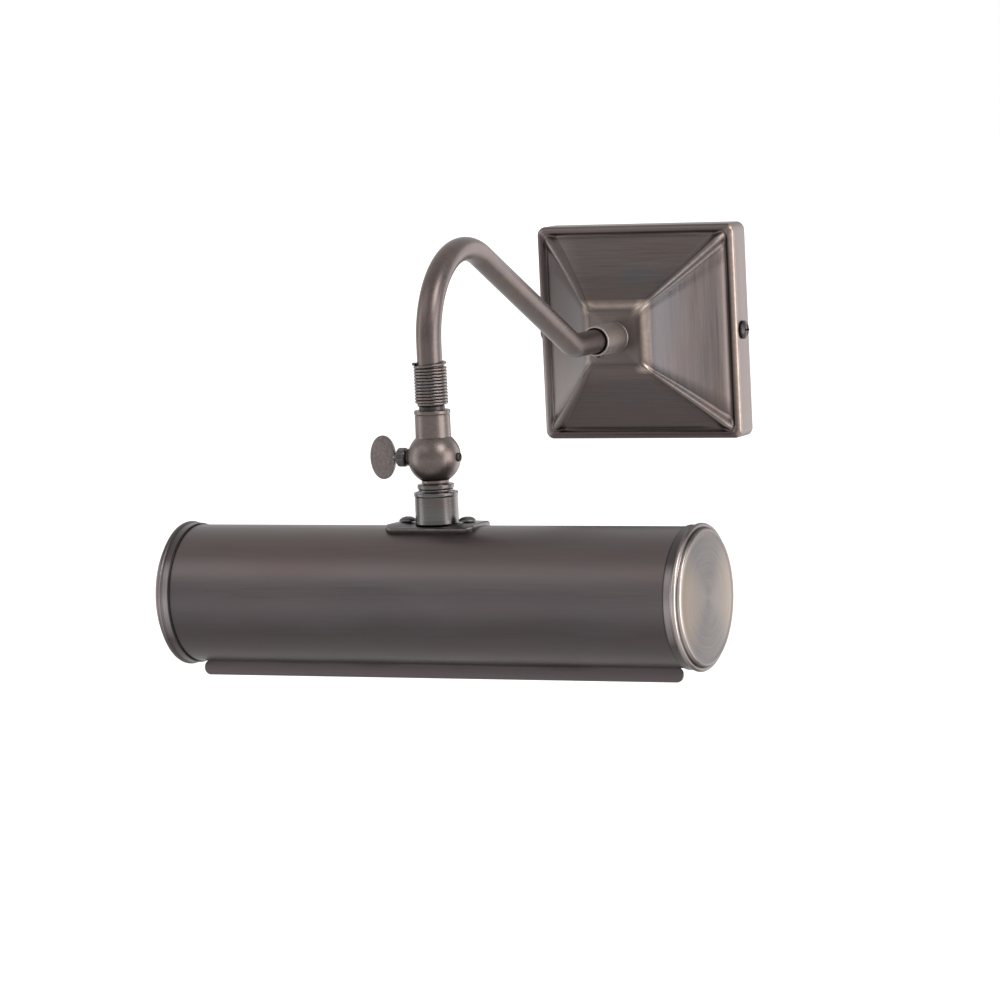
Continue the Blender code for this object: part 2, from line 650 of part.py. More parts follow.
def lower_knuckle(head):
    """Right half of the ball in one with the neck and its threaded stud."""
    profile = [(0, -6.0), (NECK_RADIUS, -6.0), (NECK_RADIUS, NECK_BOTTOM), (STUD_RADIUS, NECK_BOTTOM),
               (STUD_RADIUS, STUD_BOTTOM + 0.4), (STUD_RADIUS - 0.4, STUD_BOTTOM), (0, STUD_BOTTOM)]
    body = turned("lower_knuckle", profile, "knuckle_bronze", parent=head)
    combine(body, turned("cut_left_clearance", clearance_profile(), None, 20, parent=head, along="-X"))
    combine(body, half_ball("join_right_half", BALL_RADIUS, 1, HALF_GAP, parent=head), "UNION")
    chamber = turned("cut_right_chamber", chamber_profile(CAPTIVE_RADIUS + GAP), None, 18,
                     parent=head, along="+X")
    bore = rod("cut_stud_bore", STEM_BORE, STUD_BOTTOM - 1, NECK_BOTTOM - 1.0, steps=14, parent=head)
    way_up = rod("cut_neck_lead_way", LEAD_WAY, NECK_BOTTOM - 2.0, -4.0, steps=12, parent=head,
                 place=(LEAD_WAY_X, 0, 0))
    for cutter in (chamber, bore, way_up):
        combine(body, cutter)


CLAMP_SHANK = 1.95
CAPTIVE_BORE = SCREW_CLEAR - 0.2
CAPTIVE_RADIUS = 3.1
CAPTIVE_INNER = 4.6
CAPTIVE_OUTER = 12.4
PADDLE_HALF = (6.6, 9.5)    # along the screw and across it
PADDLE_CENTRE = 23.8
PADDLE_THICK = 2.6
PADDLE_STEPS = 28


def clamp_screw(washer_pivot, thumb_pivot, head):
    """Thumbscrew through the left half, its cupped washer, and the nut in the right half."""
    floor = CAPTIVE_OUTER - 1.6
    captive = [(0, floor), (CAPTIVE_BORE, floor), (CAPTIVE_BORE, CAPTIVE_INNER),
               (CAPTIVE_RADIUS - 0.3, CAPTIVE_INNER), (CAPTIVE_RADIUS, CAPTIVE_INNER + 0.4),
               (CAPTIVE_RADIUS, CAPTIVE_OUTER - 0.7), (CAPTIVE_RADIUS - 0.8, CAPTIVE_OUTER),
               (0, CAPTIVE_OUTER)]
    cap = turned("captive_nut", captive, "fastener_dark", 16, parent=head, along="+X")
    combine(cap, block("cut_captive_slot", (-4, -0.45, CAPTIVE_OUTER - 0.8),
                       (4, 0.45, CAPTIVE_OUTER + 1), parent=head, along="+X"))

    washer = [(SCREW_CLEAR, 11.35), (4.0, 10.95), (4.0, 11.75), (SCREW_CLEAR, 12.15)]
    turned("clamp_washer", washer, "fastener_dark", 18, closed=True, parent=washer_pivot, along="-X")

    thumb = [(0, -10.0), (CLAMP_SHANK - 0.3, -10.0), (CLAMP_SHANK, -9.6), (CLAMP_SHANK, 12.5),
             (3.3, 12.5), (4.3, 13.3), (4.5, 14.0), (4.5, 16.2), (4.2, 16.9), (3.2, 17.6), (2.9, 18.4),
             (2.4, 20.5), (0, 20.5)]
    screw = turned("thumbscrew", thumb, "knuckle_bronze", 20, parent=thumb_pivot, along="-X")
    paddle = []
    for k in range(PADDLE_STEPS):
        angle = 2 * math.pi * k / PADDLE_STEPS
        paddle.append((PADDLE_HALF[1] * math.cos(angle), PADDLE_HALF[0] * math.sin(angle)))
    oval = extruded("join_paddle", paddle, -PADDLE_THICK / 2, PADDLE_THICK / 2, parent=thumb_pivot,
                    place=(-PADDLE_CENTRE, 0, 0))
    oval.rotation_euler = (math.pi / 2, math.pi / 2, 0)
    bevel(oval, 0.7, 2)
    combine(screw, oval, "UNION")


# --------------------------------------------------------- stem, socket, saddle

LOCK_THICK = 1.9
WASHER_THICK = 0.9
SPIGOT_BORE = 3.4
SADDLE_HALF = 20.2          # half the saddle's length along the tube
SADDLE_SPREAD = math.radians(27)
SADDLE_STEPS = 12
SADDLE_LOW = SHADE_RADIUS + GAP
SADDLE_HIGH = SADDLE_LOW + SADDLE_THICK


def stem(head):
    """Lock nut, washer and socket between the neck and the saddle."""
    top = NECK_BOTTOM - GAP
    bottom = top - LOCK_THICK
    lock = [(STUD_HOLE, bottom), (7.6, bottom), (7.9, bottom + 0.3), (7.9, top - 0.3), (7.6, top),
            (STUD_HOLE, top)]
    turned("stem_lock_nut", lock, "knuckle_bronze", 24, closed=True, parent=head)
    top = bottom - GAP
    bottom = top - WASHER_THICK
    ring = [(STUD_HOLE, bottom), (7.5, bottom), (7.5, top), (STUD_HOLE, top)]
    turned("stem_washer", ring, "knuckle_bronze", 24, closed=True, parent=head)
    top = bottom - GAP
    foot = SHADE_Z + SHADE_RADIUS - 1
    spigot = foot - SHADE_WALL
    cup = [(STUD_HOLE, top), (9.2, top), (9.55, top - 0.4), (9.55, top - 1.5), (9.35, top - 1.8),
           (9.45, foot), (STUD_RADIUS, foot), (STUD_RADIUS, spigot), (SPIGOT_BORE, spigot),
           (SPIGOT_BORE, STUD_BOTTOM - 1.5), (STUD_HOLE, STUD_BOTTOM - 1.5)]
    socket = turned("shade_socket", cup, "knuckle_bronze", closed=True, parent=head)
    crown = SADDLE_HIGH + GAP
    scoop = turned("cut_saddle_seat", [(0, -20), (crown, -20), (crown, 20), (0, 20)], None, 60,
                   parent=head, place=(0, 0, SHADE_Z), along="+X")
    combine(scoop, rod("keep_spigot", STUD_RADIUS + 0.01, 20, 60, steps=28, parent=head,
                       place=(0, 0, SHADE_Z)))
    combine(socket, scoop)


def curved_sheet(low, high, start, end, steps):
    """Outline of a sheet bent round the X axis, for extruding along +X.

    The angles run from +Y (the wall) towards +Z.
    """
    outline = []
    for radius, first, last in ((high, start, end), (low, end, start)):
        for k in range(steps + 1):
            angle = first + (last - first) * k / steps
            outline.append((-radius * math.sin(angle), radius * math.cos(angle)))
    return outline


def saddle(head):
    """Curved plate on top of the tube, its two screws and nuts."""
    place = (0, 0, SHADE_Z)
    bent = curved_sheet(SADDLE_LOW, SADDLE_HIGH, math.pi / 2 - SADDLE_SPREAD,
                        math.pi / 2 + SADDLE_SPREAD, SADDLE_STEPS)
    plate = extruded("saddle_plate", bent, -SADDLE_HALF, SADDLE_HALF, "knuckle_bronze", parent=head,
                     place=place, along="+X")
    half_depth = SADDLE_HIGH * math.sin(SADDLE_SPREAD) + 0.05
    trim = extruded("trim_saddle_corners", rounded_rectangle(SADDLE_HALF, half_depth, 4.0), 10, 50,
                    parent=head, place=place)
    combine(plate, trim, "INTERSECT")
    combine(plate, rod("cut_saddle_spigot_hole", STUD_HOLE, 10, 50, parent=head, place=place))
    inner = SHADE_Z + SHADE_RADIUS - SHADE_WALL
    for side, x in SADDLE_SCREWS:
        combine(plate, rod("cut_saddle_hole_" + side, SCREW_HOLE, 10, 50, steps=14, parent=head,
                           place=(x, 0, SHADE_Z)))
        machine_screw("saddle_screw_" + side, 3.4, 2.0, 9.0, "fastener_dark", 1.9, parent=head,
                      place=(x, 0, SHADE_Z + SADDLE_HIGH + GAP))
        nut("saddle_nut_" + side, 7.0, SCREW_HOLE, inner - 4.9, inner - 2.7, "zinc_steel", steps=12,
            parent=head, place=(x, 0, 0))


# ------------------------------------------------------------------- the shade

TUBE_HALF = 119.5
LIP_HALF = 114.6
LIP_REACH = 6.1
LIP_CORNER = 3.2
LIP_LAP = 0.02              # keeps each lip's face off the slot's edge
FRONT_LIP = math.radians(-98.4)     # from +Y (the wall) towards +Z
REAR_LIP = math.radians(1.6)
TUBE_STEPS = 40


def shade_tube(head):
    """Slotted tube with an out-turned lip along each edge of the slot."""
    place = (0, 0, SHADE_Z)
    bent = curved_sheet(SHADE_RADIUS - SHADE_WALL, SHADE_RADIUS, REAR_LIP, FRONT_LIP + 2 * math.pi,
                        TUBE_STEPS)
    tube = extruded("shade_tube", bent, -TUBE_HALF, TUBE_HALF, "shade_bronze", parent=head,
                    place=place, along="+X")
    low = SHADE_RADIUS - SHADE_WALL / 2
    high = SHADE_RADIUS + LIP_REACH
    strip = rounded_rectangle(LIP_HALF, (high - low) / 2, LIP_CORNER, centre=(0, (low + high) / 2))
    for name, angle, back, front in (("front", FRONT_LIP, -SHADE_WALL - LIP_LAP, -LIP_LAP),
                                     ("rear", REAR_LIP, LIP_LAP, SHADE_WALL + LIP_LAP)):
        lip = extruded("join_%s_lip" % name, strip, back, front, parent=head, place=place)
        lip.rotation_euler = (angle, 0, 0)
        combine(tube, lip, "UNION")
    combine(tube, rod("cut_tube_spigot_hole", STUD_HOLE, 20, 40, parent=head, place=place))
    for side, x in SADDLE_SCREWS:
        combine(tube, rod("cut_tube_hole_" + side, SCREW_HOLE, 20, 40, steps=14, parent=head,
                          place=(x, 0, SHADE_Z)))


def end_caps(head):
    """Spun caps: skirt over the tube, bead, groove and slightly domed disc."""
    edge = SHADE_WIDTH / 2
    skirt = SHADE_RADIUS + GAP
    inside = [(0, edge - 0.8), (27.4, edge - 1.3), (28.2, edge - 2.2), (29.6, edge - 2.7),
              (skirt, edge - 3.4)]
    outside = [(skirt, edge - 8.0), (skirt + 0.7, edge - 8.0), (skirt + 0.8, edge - 4.6),
               (skirt + 1.1, edge - 3.9), (31.5, edge - 3.2), (31.5, edge - 2.5), (31.0, edge - 1.8),
               (29.9, edge - 1.7), (29.4, edge - 1.4), (28.9, edge - 0.75), (27.8, edge - 0.45),
               (20.0, edge - 0.2), (10.0, edge - 0.05), (0, edge)]
    for side, along in (("left", "-X"), ("right", "+X")):
        turned("end_cap_" + side, inside + outside, "cap_bronze", 28, parent=head,
               place=(0, 0, SHADE_Z), along=along)


# ----------------------------------------------------------- inside the shade

STRAP_TOP = SHADE_RADIUS - SHADE_WALL - 0.9     # above the shade's axis
HOLDER_STRAP = 1.2
LEG_X = -104.0
HOLDER_FRONT = -60.0
CONTACT_X = -92.0


def lampholder(head):
    """Strap under the saddle, lampholder with its shell, contact and back nut."""
    place = (0, 0, SHADE_Z)
    low = STRAP_TOP - HOLDER_STRAP
    leg_back = LEG_X - HOLDER_STRAP
    outline = [(21, STRAP_TOP), (leg_back, STRAP_TOP), (leg_back, -9.0), (LEG_X, -9.0), (LEG_X, low),
               (21, low)]
    strap = extruded("holder_strap", outline, -6, 6, "zinc_steel", parent=head, place=place, along="-Y")
    strap.rotation_euler = (math.pi / 2, 0, 0)
    combine(strap, rod("cut_strap_spigot_hole", STUD_HOLE, 20, 40, parent=head, place=place))
    combine(strap, rod("cut_leg_hole", STUD_HOLE, LEG_X - 5, LEG_X + 5, parent=head, place=place,
                       along="+X"))
    for side, x in SADDLE_SCREWS:
        combine(strap, rod("cut_strap_hole_" + side, SCREW_HOLE, 20, 40, steps=14, parent=head,
                           place=(x, 0, SHADE_Z)))

    back = LEG_X + GAP
    body = [(3.2, LEG_X - 6.5), (STUD_RADIUS, LEG_X - 6.5), (STUD_RADIUS, back), (9.0, back),
            (12.6, back + 2.5), (13.2, back + 8), (13.6, HOLDER_FRONT), (8.4, HOLDER_FRONT),
            (8.4, CONTACT_X - 2.5), (3.2, CONTACT_X - 2.5)]
    turned("lampholder_body", body, "white_plastic", 24, closed=True, parent=head, place=place, along="+X")
    nut("holder_nut", 13.0, STUD_HOLE, leg_back - GAP - 3.0, leg_back - GAP, "zinc_steel",
        parent=head, place=place, along="+X")
    shell = [(7.4, CONTACT_X + 2.0), (8.0, CONTACT_X + 2.0), (8.0, HOLDER_FRONT - 1.0),
             (7.4, HOLDER_FRONT - 1.0)]
    turned("lampholder_shell", shell, "brass", 24, closed=True, parent=head, place=place, along="+X")
    contact = [(0, CONTACT_X - 2.2), (5.0, CONTACT_X - 2.2), (5.0, CONTACT_X - 1.4), (2.0, CONTACT_X - 1.2),
               (2.0, CONTACT_X), (0, CONTACT_X)]
    turned("lampholder_contact", contact, "brass", 14, parent=head, place=place, along="+X")


LAMP_RADIUS = 12.5
LAMP_WALL = 0.8
LAMP_TIP = 27.0
TIP_DEPTH = 9.0             # length of the glass's rounded end
LAMP_NECK = HOLDER_FRONT + 1.8
LAMP_STEM_END = -38.0
THREAD_PITCH = 2.8
THREAD_TURNS = 6


def round_tip(radius, depth, steps=6):
    """Quarter ellipse from the tube's wall to its tip."""
    points = []
    for k in range(steps + 1):
        angle = math.pi / 2 * k / steps
        points.append((radius * math.cos(angle) if k < steps else 0,
                       LAMP_TIP - TIP_DEPTH + depth * math.sin(angle)))
    return points


def lamp(head):
    """Tubular lamp with a small screw cap, a glass stem and a looped filament."""
    place = (0, 0, SHADE_Z)
    foot = CONTACT_X + GAP
    cap = [(0, foot), (2.2, foot), (2.6, foot + 1.2), (5.2, foot + 3.4), (6.6, foot + 4.4)]
    for k in range(THREAD_TURNS):
        start = foot + k * THREAD_PITCH
        cap += [(7.0, start + 5.8), (6.4, start + 7.2)]
    cap += [(6.9, HOLDER_FRONT - 2.0), (7.2, HOLDER_FRONT + 1.5), (6.4, HOLDER_FRONT + 1.5),
            (6.0, HOLDER_FRONT - 4.0), (0, HOLDER_FRONT - 4.0)]
    turned("lamp_cap", cap, "brass", 18, parent=head, place=place, along="+X")

    neck = LAMP_NECK
    outer = [(6.2, neck), (7.4, neck), (9.0, neck + 3), (11.4, neck + 7), (LAMP_RADIUS, neck + 11)]
    inner = [(LAMP_RADIUS - LAMP_WALL, neck + 11.3), (10.6, neck + 7.3), (8.2, neck + 3.4),
             (6.2, neck + 0.8)]
    hollow = round_tip(LAMP_RADIUS - LAMP_WALL, TIP_DEPTH - LAMP_WALL)[::-1]
    glass = hollow + inner + outer + round_tip(LAMP_RADIUS, TIP_DEPTH)
    turned("lamp_glass", glass, "clear_glass", 16, parent=head, place=place, along="+X")

    end = LAMP_STEM_END
    post = [(0, neck - 4.5), (5.4, neck - 4.5), (5.4, neck - 0.5), (3.6, neck + 3), (2.2, neck + 8),
            (1.6, end - 2), (1.2, end), (0, end)]
    turned("lamp_stem", post, "clear_glass", 14, parent=head, place=place, along="+X")
    loops = [(end + 0.6, 0, 0)]
    span = LAMP_TIP - 16.0 - end
    for k in range(9):
        angle = math.pi * k / 2
        loops.append((end + 3 + span * k / 8, 2.2 * math.cos(angle), 2.2 * math.sin(angle)))
    insulated_lead("lamp_filament", loops, 0.3, "filament", 3.0, parent=head, place=place)


def head_flex(head):
    """Flex from the socket's bore, over the lampholder and into its back."""
    route = [(0, 0, 42), (0, 0, 32), (-0.5, 0, 26), (-6, 1, 21.5), (-20, 6.5, 20), (-40, 9.5, 20.5),
             (-70, 10, 20.5), (-95, 10.5, 20), (-106, 10.5, 17), (-112, 8.5, 9), (-114.5, 3.5, 2.5),
             (-112.5, 0, 0), (-108, 0, 0), (-100, 0, 0)]
    insulated_lead("head_flex", route, 2.1, "flex_sheath", 5.0, parent=head, place=(0, 0, SHADE_Z))


# --------------------------------------------------------------------- assembly

wall = pivot("wall_frame", (0, 0, 0))
arm_pivot = pivot("arm_level_axis", (0, -COLLAR_MOUTH, 0), wall)
swivel_pivot = pivot("head_swivel_axis", (0, COLLAR_MOUTH - PROJECTION, 0), arm_pivot)
ball_pivot = pivot("ball_centre", (0, 0, -BALL_DROP), swivel_pivot)
washer_pivot = pivot("thumb_travel_axis", (0, 0, 0), ball_pivot)
thumb_pivot = pivot("thumb_turn_axis", (0, 0, 0), washer_pivot)
head_pivot = pivot("shade_tilt_axis", (0, 0, 0), ball_pivot)

wall_bracket(wall)
wall_plate(wall)
plate_fastenings(wall)
collar(wall)
terminals(wall)
arm(arm_pivot)
coil(arm_pivot)
swivel_stop_pin(arm_pivot)
upper_knuckle(swivel_pivot, ball_pivot)
lower_knuckle(head_pivot)
clamp_screw(washer_pivot, thumb_pivot, head_pivot)
stem(head_pivot)
saddle(head_pivot)
shade_tube(head_pivot)
end_caps(head_pivot)
lampholder(head_pivot)
lamp(head_pivot)
head_flex(head_pivot)
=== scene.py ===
"""Looks of the swan-neck picture light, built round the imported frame.

Lengths are in millimetres until a mesh is made; MM turns them into metres. The wall
is the plane Y = 0, the light reaches out along -Y, and +Z is up.
"""
import json
from math import asin, atan2, copysign, cos, degrees, pi, radians, sin, sqrt, tan

import bmesh
import bpy
from mathutils import Matrix, Vector


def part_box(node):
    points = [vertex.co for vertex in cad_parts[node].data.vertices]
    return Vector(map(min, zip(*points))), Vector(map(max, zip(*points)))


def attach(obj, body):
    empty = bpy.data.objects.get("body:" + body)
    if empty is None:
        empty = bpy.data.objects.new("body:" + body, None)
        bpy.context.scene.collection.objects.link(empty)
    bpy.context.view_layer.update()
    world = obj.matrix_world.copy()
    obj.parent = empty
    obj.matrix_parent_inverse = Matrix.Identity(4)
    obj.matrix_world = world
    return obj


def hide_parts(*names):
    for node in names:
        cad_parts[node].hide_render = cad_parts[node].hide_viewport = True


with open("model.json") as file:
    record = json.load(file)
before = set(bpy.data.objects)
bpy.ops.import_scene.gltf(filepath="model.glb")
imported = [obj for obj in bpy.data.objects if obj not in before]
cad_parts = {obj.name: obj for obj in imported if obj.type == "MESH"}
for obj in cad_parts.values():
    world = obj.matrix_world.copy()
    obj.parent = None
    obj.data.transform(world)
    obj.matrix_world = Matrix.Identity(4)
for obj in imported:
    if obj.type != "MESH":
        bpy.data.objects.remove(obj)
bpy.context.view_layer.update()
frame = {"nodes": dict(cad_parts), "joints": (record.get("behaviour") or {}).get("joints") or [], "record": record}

MM = 0.001


def middle(*nodes):
    """Centre of the box round some CAD nodes, in millimetres."""
    low = [min(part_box(n)[0][k] for n in nodes) for k in range(3)]
    high = [max(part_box(n)[1][k] for n in nodes) for k in range(3)]
    return Vector((a + b) / 2 / MM for a, b in zip(low, high))


def low_high(name, axis):
    """Lowest and highest coordinate of a CAD node along one axis, in millimetres."""
    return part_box(name)[0][axis] / MM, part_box(name)[1][axis] / MM


RECORD = frame["record"]
BODY = {n: body for body, members in RECORD["behaviour"]["bodies"].items() for n in members}
PLACES = {j["name"]: Vector(j["pos_m"]) / MM for j in frame["joints"] if "pos_m" in j}
MOUTH = PLACES["arm_level"]  # open end of the collar, on its axis
ARM_END = PLACES["head_swivel"]  # the swivel's axis at the collar's height
BALL = PLACES["shade_tilt"]
SHADE = middle("end_cap_left", "end_cap_right")
SHADE_EDGE = low_high("end_cap_right", 0)[1]
PLATE_HALF = low_high("wall_plate", 0)[1]
SHADE_RADIUS = 30.0
SHADE_WALL = 1.0


# ---- node materials ----

def is_socket(value):
    return isinstance(value, bpy.types.NodeSocket)


def node(tree, kind, inputs=None, **settings):
    """A new node; inputs are sockets or values by the input's name or number."""
    made = tree.nodes.new("ShaderNode" + kind)
    for key, value in settings.items():
        setattr(made, key, value)
    for key, value in (inputs or {}).items():
        if is_socket(value):
            tree.links.new(value, made.inputs[key])
        else:
            made.inputs[key].default_value = value
    return made


def after(value, kind, inputs=None, **settings):
    """First output of a new node that takes a socket's value; its tree is the socket's."""
    return node(value.id_data, kind, {0: value, **(inputs or {})}, **settings).outputs[0]


def maths(operation, a, b=0.0, clamp=False):
    return after(a, "Math", {1: b}, operation=operation, use_clamp=clamp)


def times(a, b, clamp=False):
    return maths("MULTIPLY", a, b, clamp)


def most(a, b):
    return maths("MAXIMUM", a, b)


def remap(value, low, high, new_low=0.0, new_high=1.0):
    return after(value, "MapRange", {"From Min": low, "From Max": high, "To Min": new_low,
                                     "To Max": new_high})


def mix(share, a, b, blend="MIX"):
    """Blend two colours; the share or the first colour is a socket."""
    tree = (a if is_socket(a) else share).id_data
    first, second = (c if is_socket(c) else (*c, 1.0) for c in (a, b))
    made = node(tree, "Mix", {0: share, 6: first, 7: second}, data_type="RGBA", blend_type=blend)
    return made.outputs[2]


def noise(vector, scale, detail=3.0, rough=0.55, w=None):
    inputs = {"Scale": scale, "Detail": detail, "Roughness": rough}
    if w is None:
        return after(vector, "TexNoise", inputs)
    return after(vector, "TexNoise", {**inputs, "W": w}, noise_dimensions="4D")


def ramp(value, stops):
    made = node(value.id_data, "ValToRGB", {0: value})
    band = made.color_ramp
    while len(band.elements) < len(stops):
        band.elements.new(0.5)
    for element, (place, colour) in zip(band.elements, stops):
        element.position = place
        element.color = (*colour, 1.0)
    return made.outputs[0]


def stretched(vector, scales):
    return after(vector, "VectorMath", {1: scales}, operation="MULTIPLY")


def combined(x, y, z):
    return after(x, "CombineXYZ", {1: y, 2: z})


def split(vector):
    return node(vector.id_data, "SeparateXYZ", {0: vector}).outputs


def length(vector):
    made = node(vector.id_data, "VectorMath", {0: vector}, operation="LENGTH")
    return made.outputs["Value"]


def started(name, metallic=0.0, **sockets):
    """A new material with its Principled shader and its coordinates in millimetres."""
    made = bpy.data.materials.new(name)
    made.use_nodes = True
    tree = made.node_tree
    shader = tree.nodes["Principled BSDF"]
    shader.inputs["Metallic"].default_value = metallic
    for key, value in sockets.items():
        shader.inputs[key.replace("_", " ")].default_value = value
    place = node(tree, "TexCoord").outputs["Object"]
    return made, shader, stretched(place, (1 / MM,) * 3)


def linked(shader, colour, rough, height, bump, depth):
    """Feed a shader its colour and roughness, and a relief of the given depth in metres."""
    tree = shader.id_data
    tree.links.new(colour, shader.inputs["Base Color"])
    tree.links.new(rough, shader.inputs["Roughness"])
    relief = node(tree, "Bump", {"Strength": bump, "Distance": depth, "Height": height})
    tree.links.new(relief.outputs[0], shader.inputs["Normal"])


def polar(place):
    """Radius, height and a seamless direction round the local Z axis."""
    x, y, height = split(place)
    flat = combined(x, y, 0.0)
    return length(flat), height, after(flat, "VectorMath", operation="NORMALIZE")


def square(place):
    """Coordinates on the plate, how far out they are measured square, and their sideways lean."""
    parts = split(place)
    sideways = maths("ABSOLUTE", parts[0])
    upright = maths("ABSOLUTE", parts[2])
    return parts, most(sideways, upright), maths("SUBTRACT", sideways, upright)


# painted shade, on the plate's top and bottom panels and towards the top of its left panel
PAINTED_SHADE_TONE = (0.062, 0.049, 0.049)
MAUVE = (0.106, 0.086, 0.082)
WARM = (0.124, 0.093, 0.081)
SLATE = (0.094, 0.089, 0.092)
GOLD = (0.50, 0.40, 0.34)
# dark colour of the grooves: dirt, and painted shade
GROOVE_GRIME_AND_SHADE = (0.022, 0.018, 0.018)
BRUSH = {  # brush lines per millimetre along each axis
    "x": (0.035, 1.9, 1.9),
    "z": (1.9, 1.9, 0.035),
    "blotch": (0.9, 0.9, 0.9),
}
BANDS = 0.16  # scale of the broad bands against the fine lines
BRUSH_DEPTH = 0.00003  # depths of relief in metres
SCRATCH_DEPTH = 0.00004
GLASS_DEPTH = 0.0002


def brushed(grain, place):
    """Fine lines and broad bands: turned, squared round the plate, or along an axis."""
    if grain == "turned":
        radius, height, way = polar(place)
        along = stretched(way, (0.8, 0.8, 0.8))
        across = maths("ADD", radius, height)
        lines = noise(along, 1.0, 3.0, 0.7, w=times(across, 2.6))
        bands = noise(along, 0.6, 2.0, 0.5, w=times(across, 0.35))
    elif grain == "square":
        parts, reach = square(place)[:2]
        along = stretched(place, (0.03, 0.0, 0.03))
        across = maths("SUBTRACT", reach, times(parts[1], 0.6))
        lines = noise(along, 1.0, 4.0, 0.7, w=times(across, 2.2))
        bands = noise(along, 0.7, 2.0, 0.5, w=times(across, 0.3))
    else:
        fine = BRUSH[grain]
        lines = noise(stretched(place, fine), 1.0, 4.0, 0.7)
        bands = noise(stretched(place, [s * BANDS for s in fine]), 1.0, 2.0, 0.5)
    return lines, bands


def bronze(name, grain, roughness=0.36, tones=(MAUVE, SLATE, WARM), streak=0.14, bump=0.25,
           patina=22.0, wear=0.0, grime_and_shade=0.7, shade=None, rubbed_and_lit=None, anisotropic=0.0):
    """Dark antique bronze: brushed streaks, blotchy patina, gold metal worn bare, and grooves
    darkened with dirt and painted shade.

    tones are two patches of patina and the bands over them, and shade changes them over the
    piece. The "wear" attribute is above 0 on rounded edges and below 0 in grooves. wear is how
    bare such edges are, unless a mask of bare places is given, as for the plate, where it also
    paints a highlight. One strength sets how dark the grooves get.
    """
    made, shader, place = started(name, 1.0)
    lines, bands = brushed(grain, place)
    cloud = noise(place, 1.0 / patina, 3.0, 0.5)
    colour = mix(remap(cloud, 0.35, 0.65), tones[0], tones[1])
    colour = mix(remap(bands, 0.42, 0.72, 0.0, 0.8), colour, tones[2])
    if shade:
        colour = shade(place, colour)
    light = remap(lines, 0.3, 0.7, 1.0 - streak, 1.0 + streak)
    colour = mix(1.0, colour, combined(light, light, light), "MULTIPLY")
    tree = made.node_tree
    edge = node(tree, "Attribute", attribute_name="wear").outputs["Fac"]
    # grooves darkened with dirt and painted shade
    colour = mix(times(edge, -grime_and_shade, clamp=True), colour, GROOVE_GRIME_AND_SHADE)
    patchy = remap(noise(place, 0.35, 3.0, 0.6), 0.38, 0.68)
    # the plate's bare places: worn metal, and also a painted highlight on its lit side
    if rubbed_and_lit:
        bare = times(rubbed_and_lit(place), remap(patchy, 0.0, 1.0, 0.7, 1.0))
    else:
        bare = times(times(edge, patchy), wear, clamp=True)
    rough = remap(lines, 0.3, 0.7, roughness - 0.06, roughness + 0.08)
    rough = maths("SUBTRACT", rough, times(bare, 0.08))
    linked(shader, mix(bare, colour, GOLD), rough, lines, bump, BRUSH_DEPTH)
    if anisotropic:
        shader.inputs["Anisotropic"].default_value = anisotropic
        turn = node(tree, "Tangent", direction_type="RADIAL", axis="Z")
        tree.links.new(turn.outputs[0], shader.inputs["Tangent"])
    return made


def plain_metal(name, low, high, roughness, speck):
    """Plated or bare metal with a soft speckle and fine scratches."""
    made, shader, place = started(name, 1.0)
    cloud = noise(place, 1.0 / speck, 4.0, 0.6)
    scratch = noise(stretched(place, (0.2, 2.2, 0.9)), 1.0, 3.0, 0.7)
    rough = remap(scratch, 0.3, 0.7, roughness - 0.07, roughness + 0.1)
    colour = mix(remap(cloud, 0.3, 0.7), low, high)
    linked(shader, colour, rough, scratch, 0.15, SCRATCH_DEPTH)
    return made


def plastic(name, low, high, roughness, grain=1.2):
    """Moulded plastic, extruded plastic or baked paint with a faint orange-peel."""
    made, shader, place = started(name)
    cloud = noise(place, 0.12, 3.0, 0.6)
    peel = noise(place, grain, 2.0, 0.5)
    rough = remap(peel, 0.3, 0.7, roughness - 0.06, roughness + 0.08)
    colour = mix(remap(cloud, 0.3, 0.7), low, high)
    linked(shader, colour, rough, peel, 0.2, SCRATCH_DEPTH)
    return made


def clear_glass(name, tint):
    """Thin blown glass, tinted unevenly, with a faint ripple."""
    made, shader, place = started(name, Transmission_Weight=1.0, IOR=1.46)
    ripple = noise(place, 0.09, 2.0)
    rough = remap(ripple, 0.3, 0.7, 0.01, 0.05)
    colour = mix(remap(ripple, 0.3, 0.7), tint, (1.0, 1.0, 1.0))
    linked(shader, colour, rough, ripple, 0.1, GLASS_DEPTH)
    return made


RIM_TAN = (0.142, 0.113, 0.106)
# painted sheen beside the apex
PANEL_PAINTED_SHEEN = (0.098, 0.092, 0.099)
# painted light towards the foot of the left panel
LEFT_FOOT_PAINTED_LIGHT = (0.215, 0.190, 0.188)
APEX_TONE = (0.172, 0.144, 0.133)
# painted highlight along the ribs
RIB_PAINTED_HIGHLIGHT = (0.215, 0.178, 0.162)


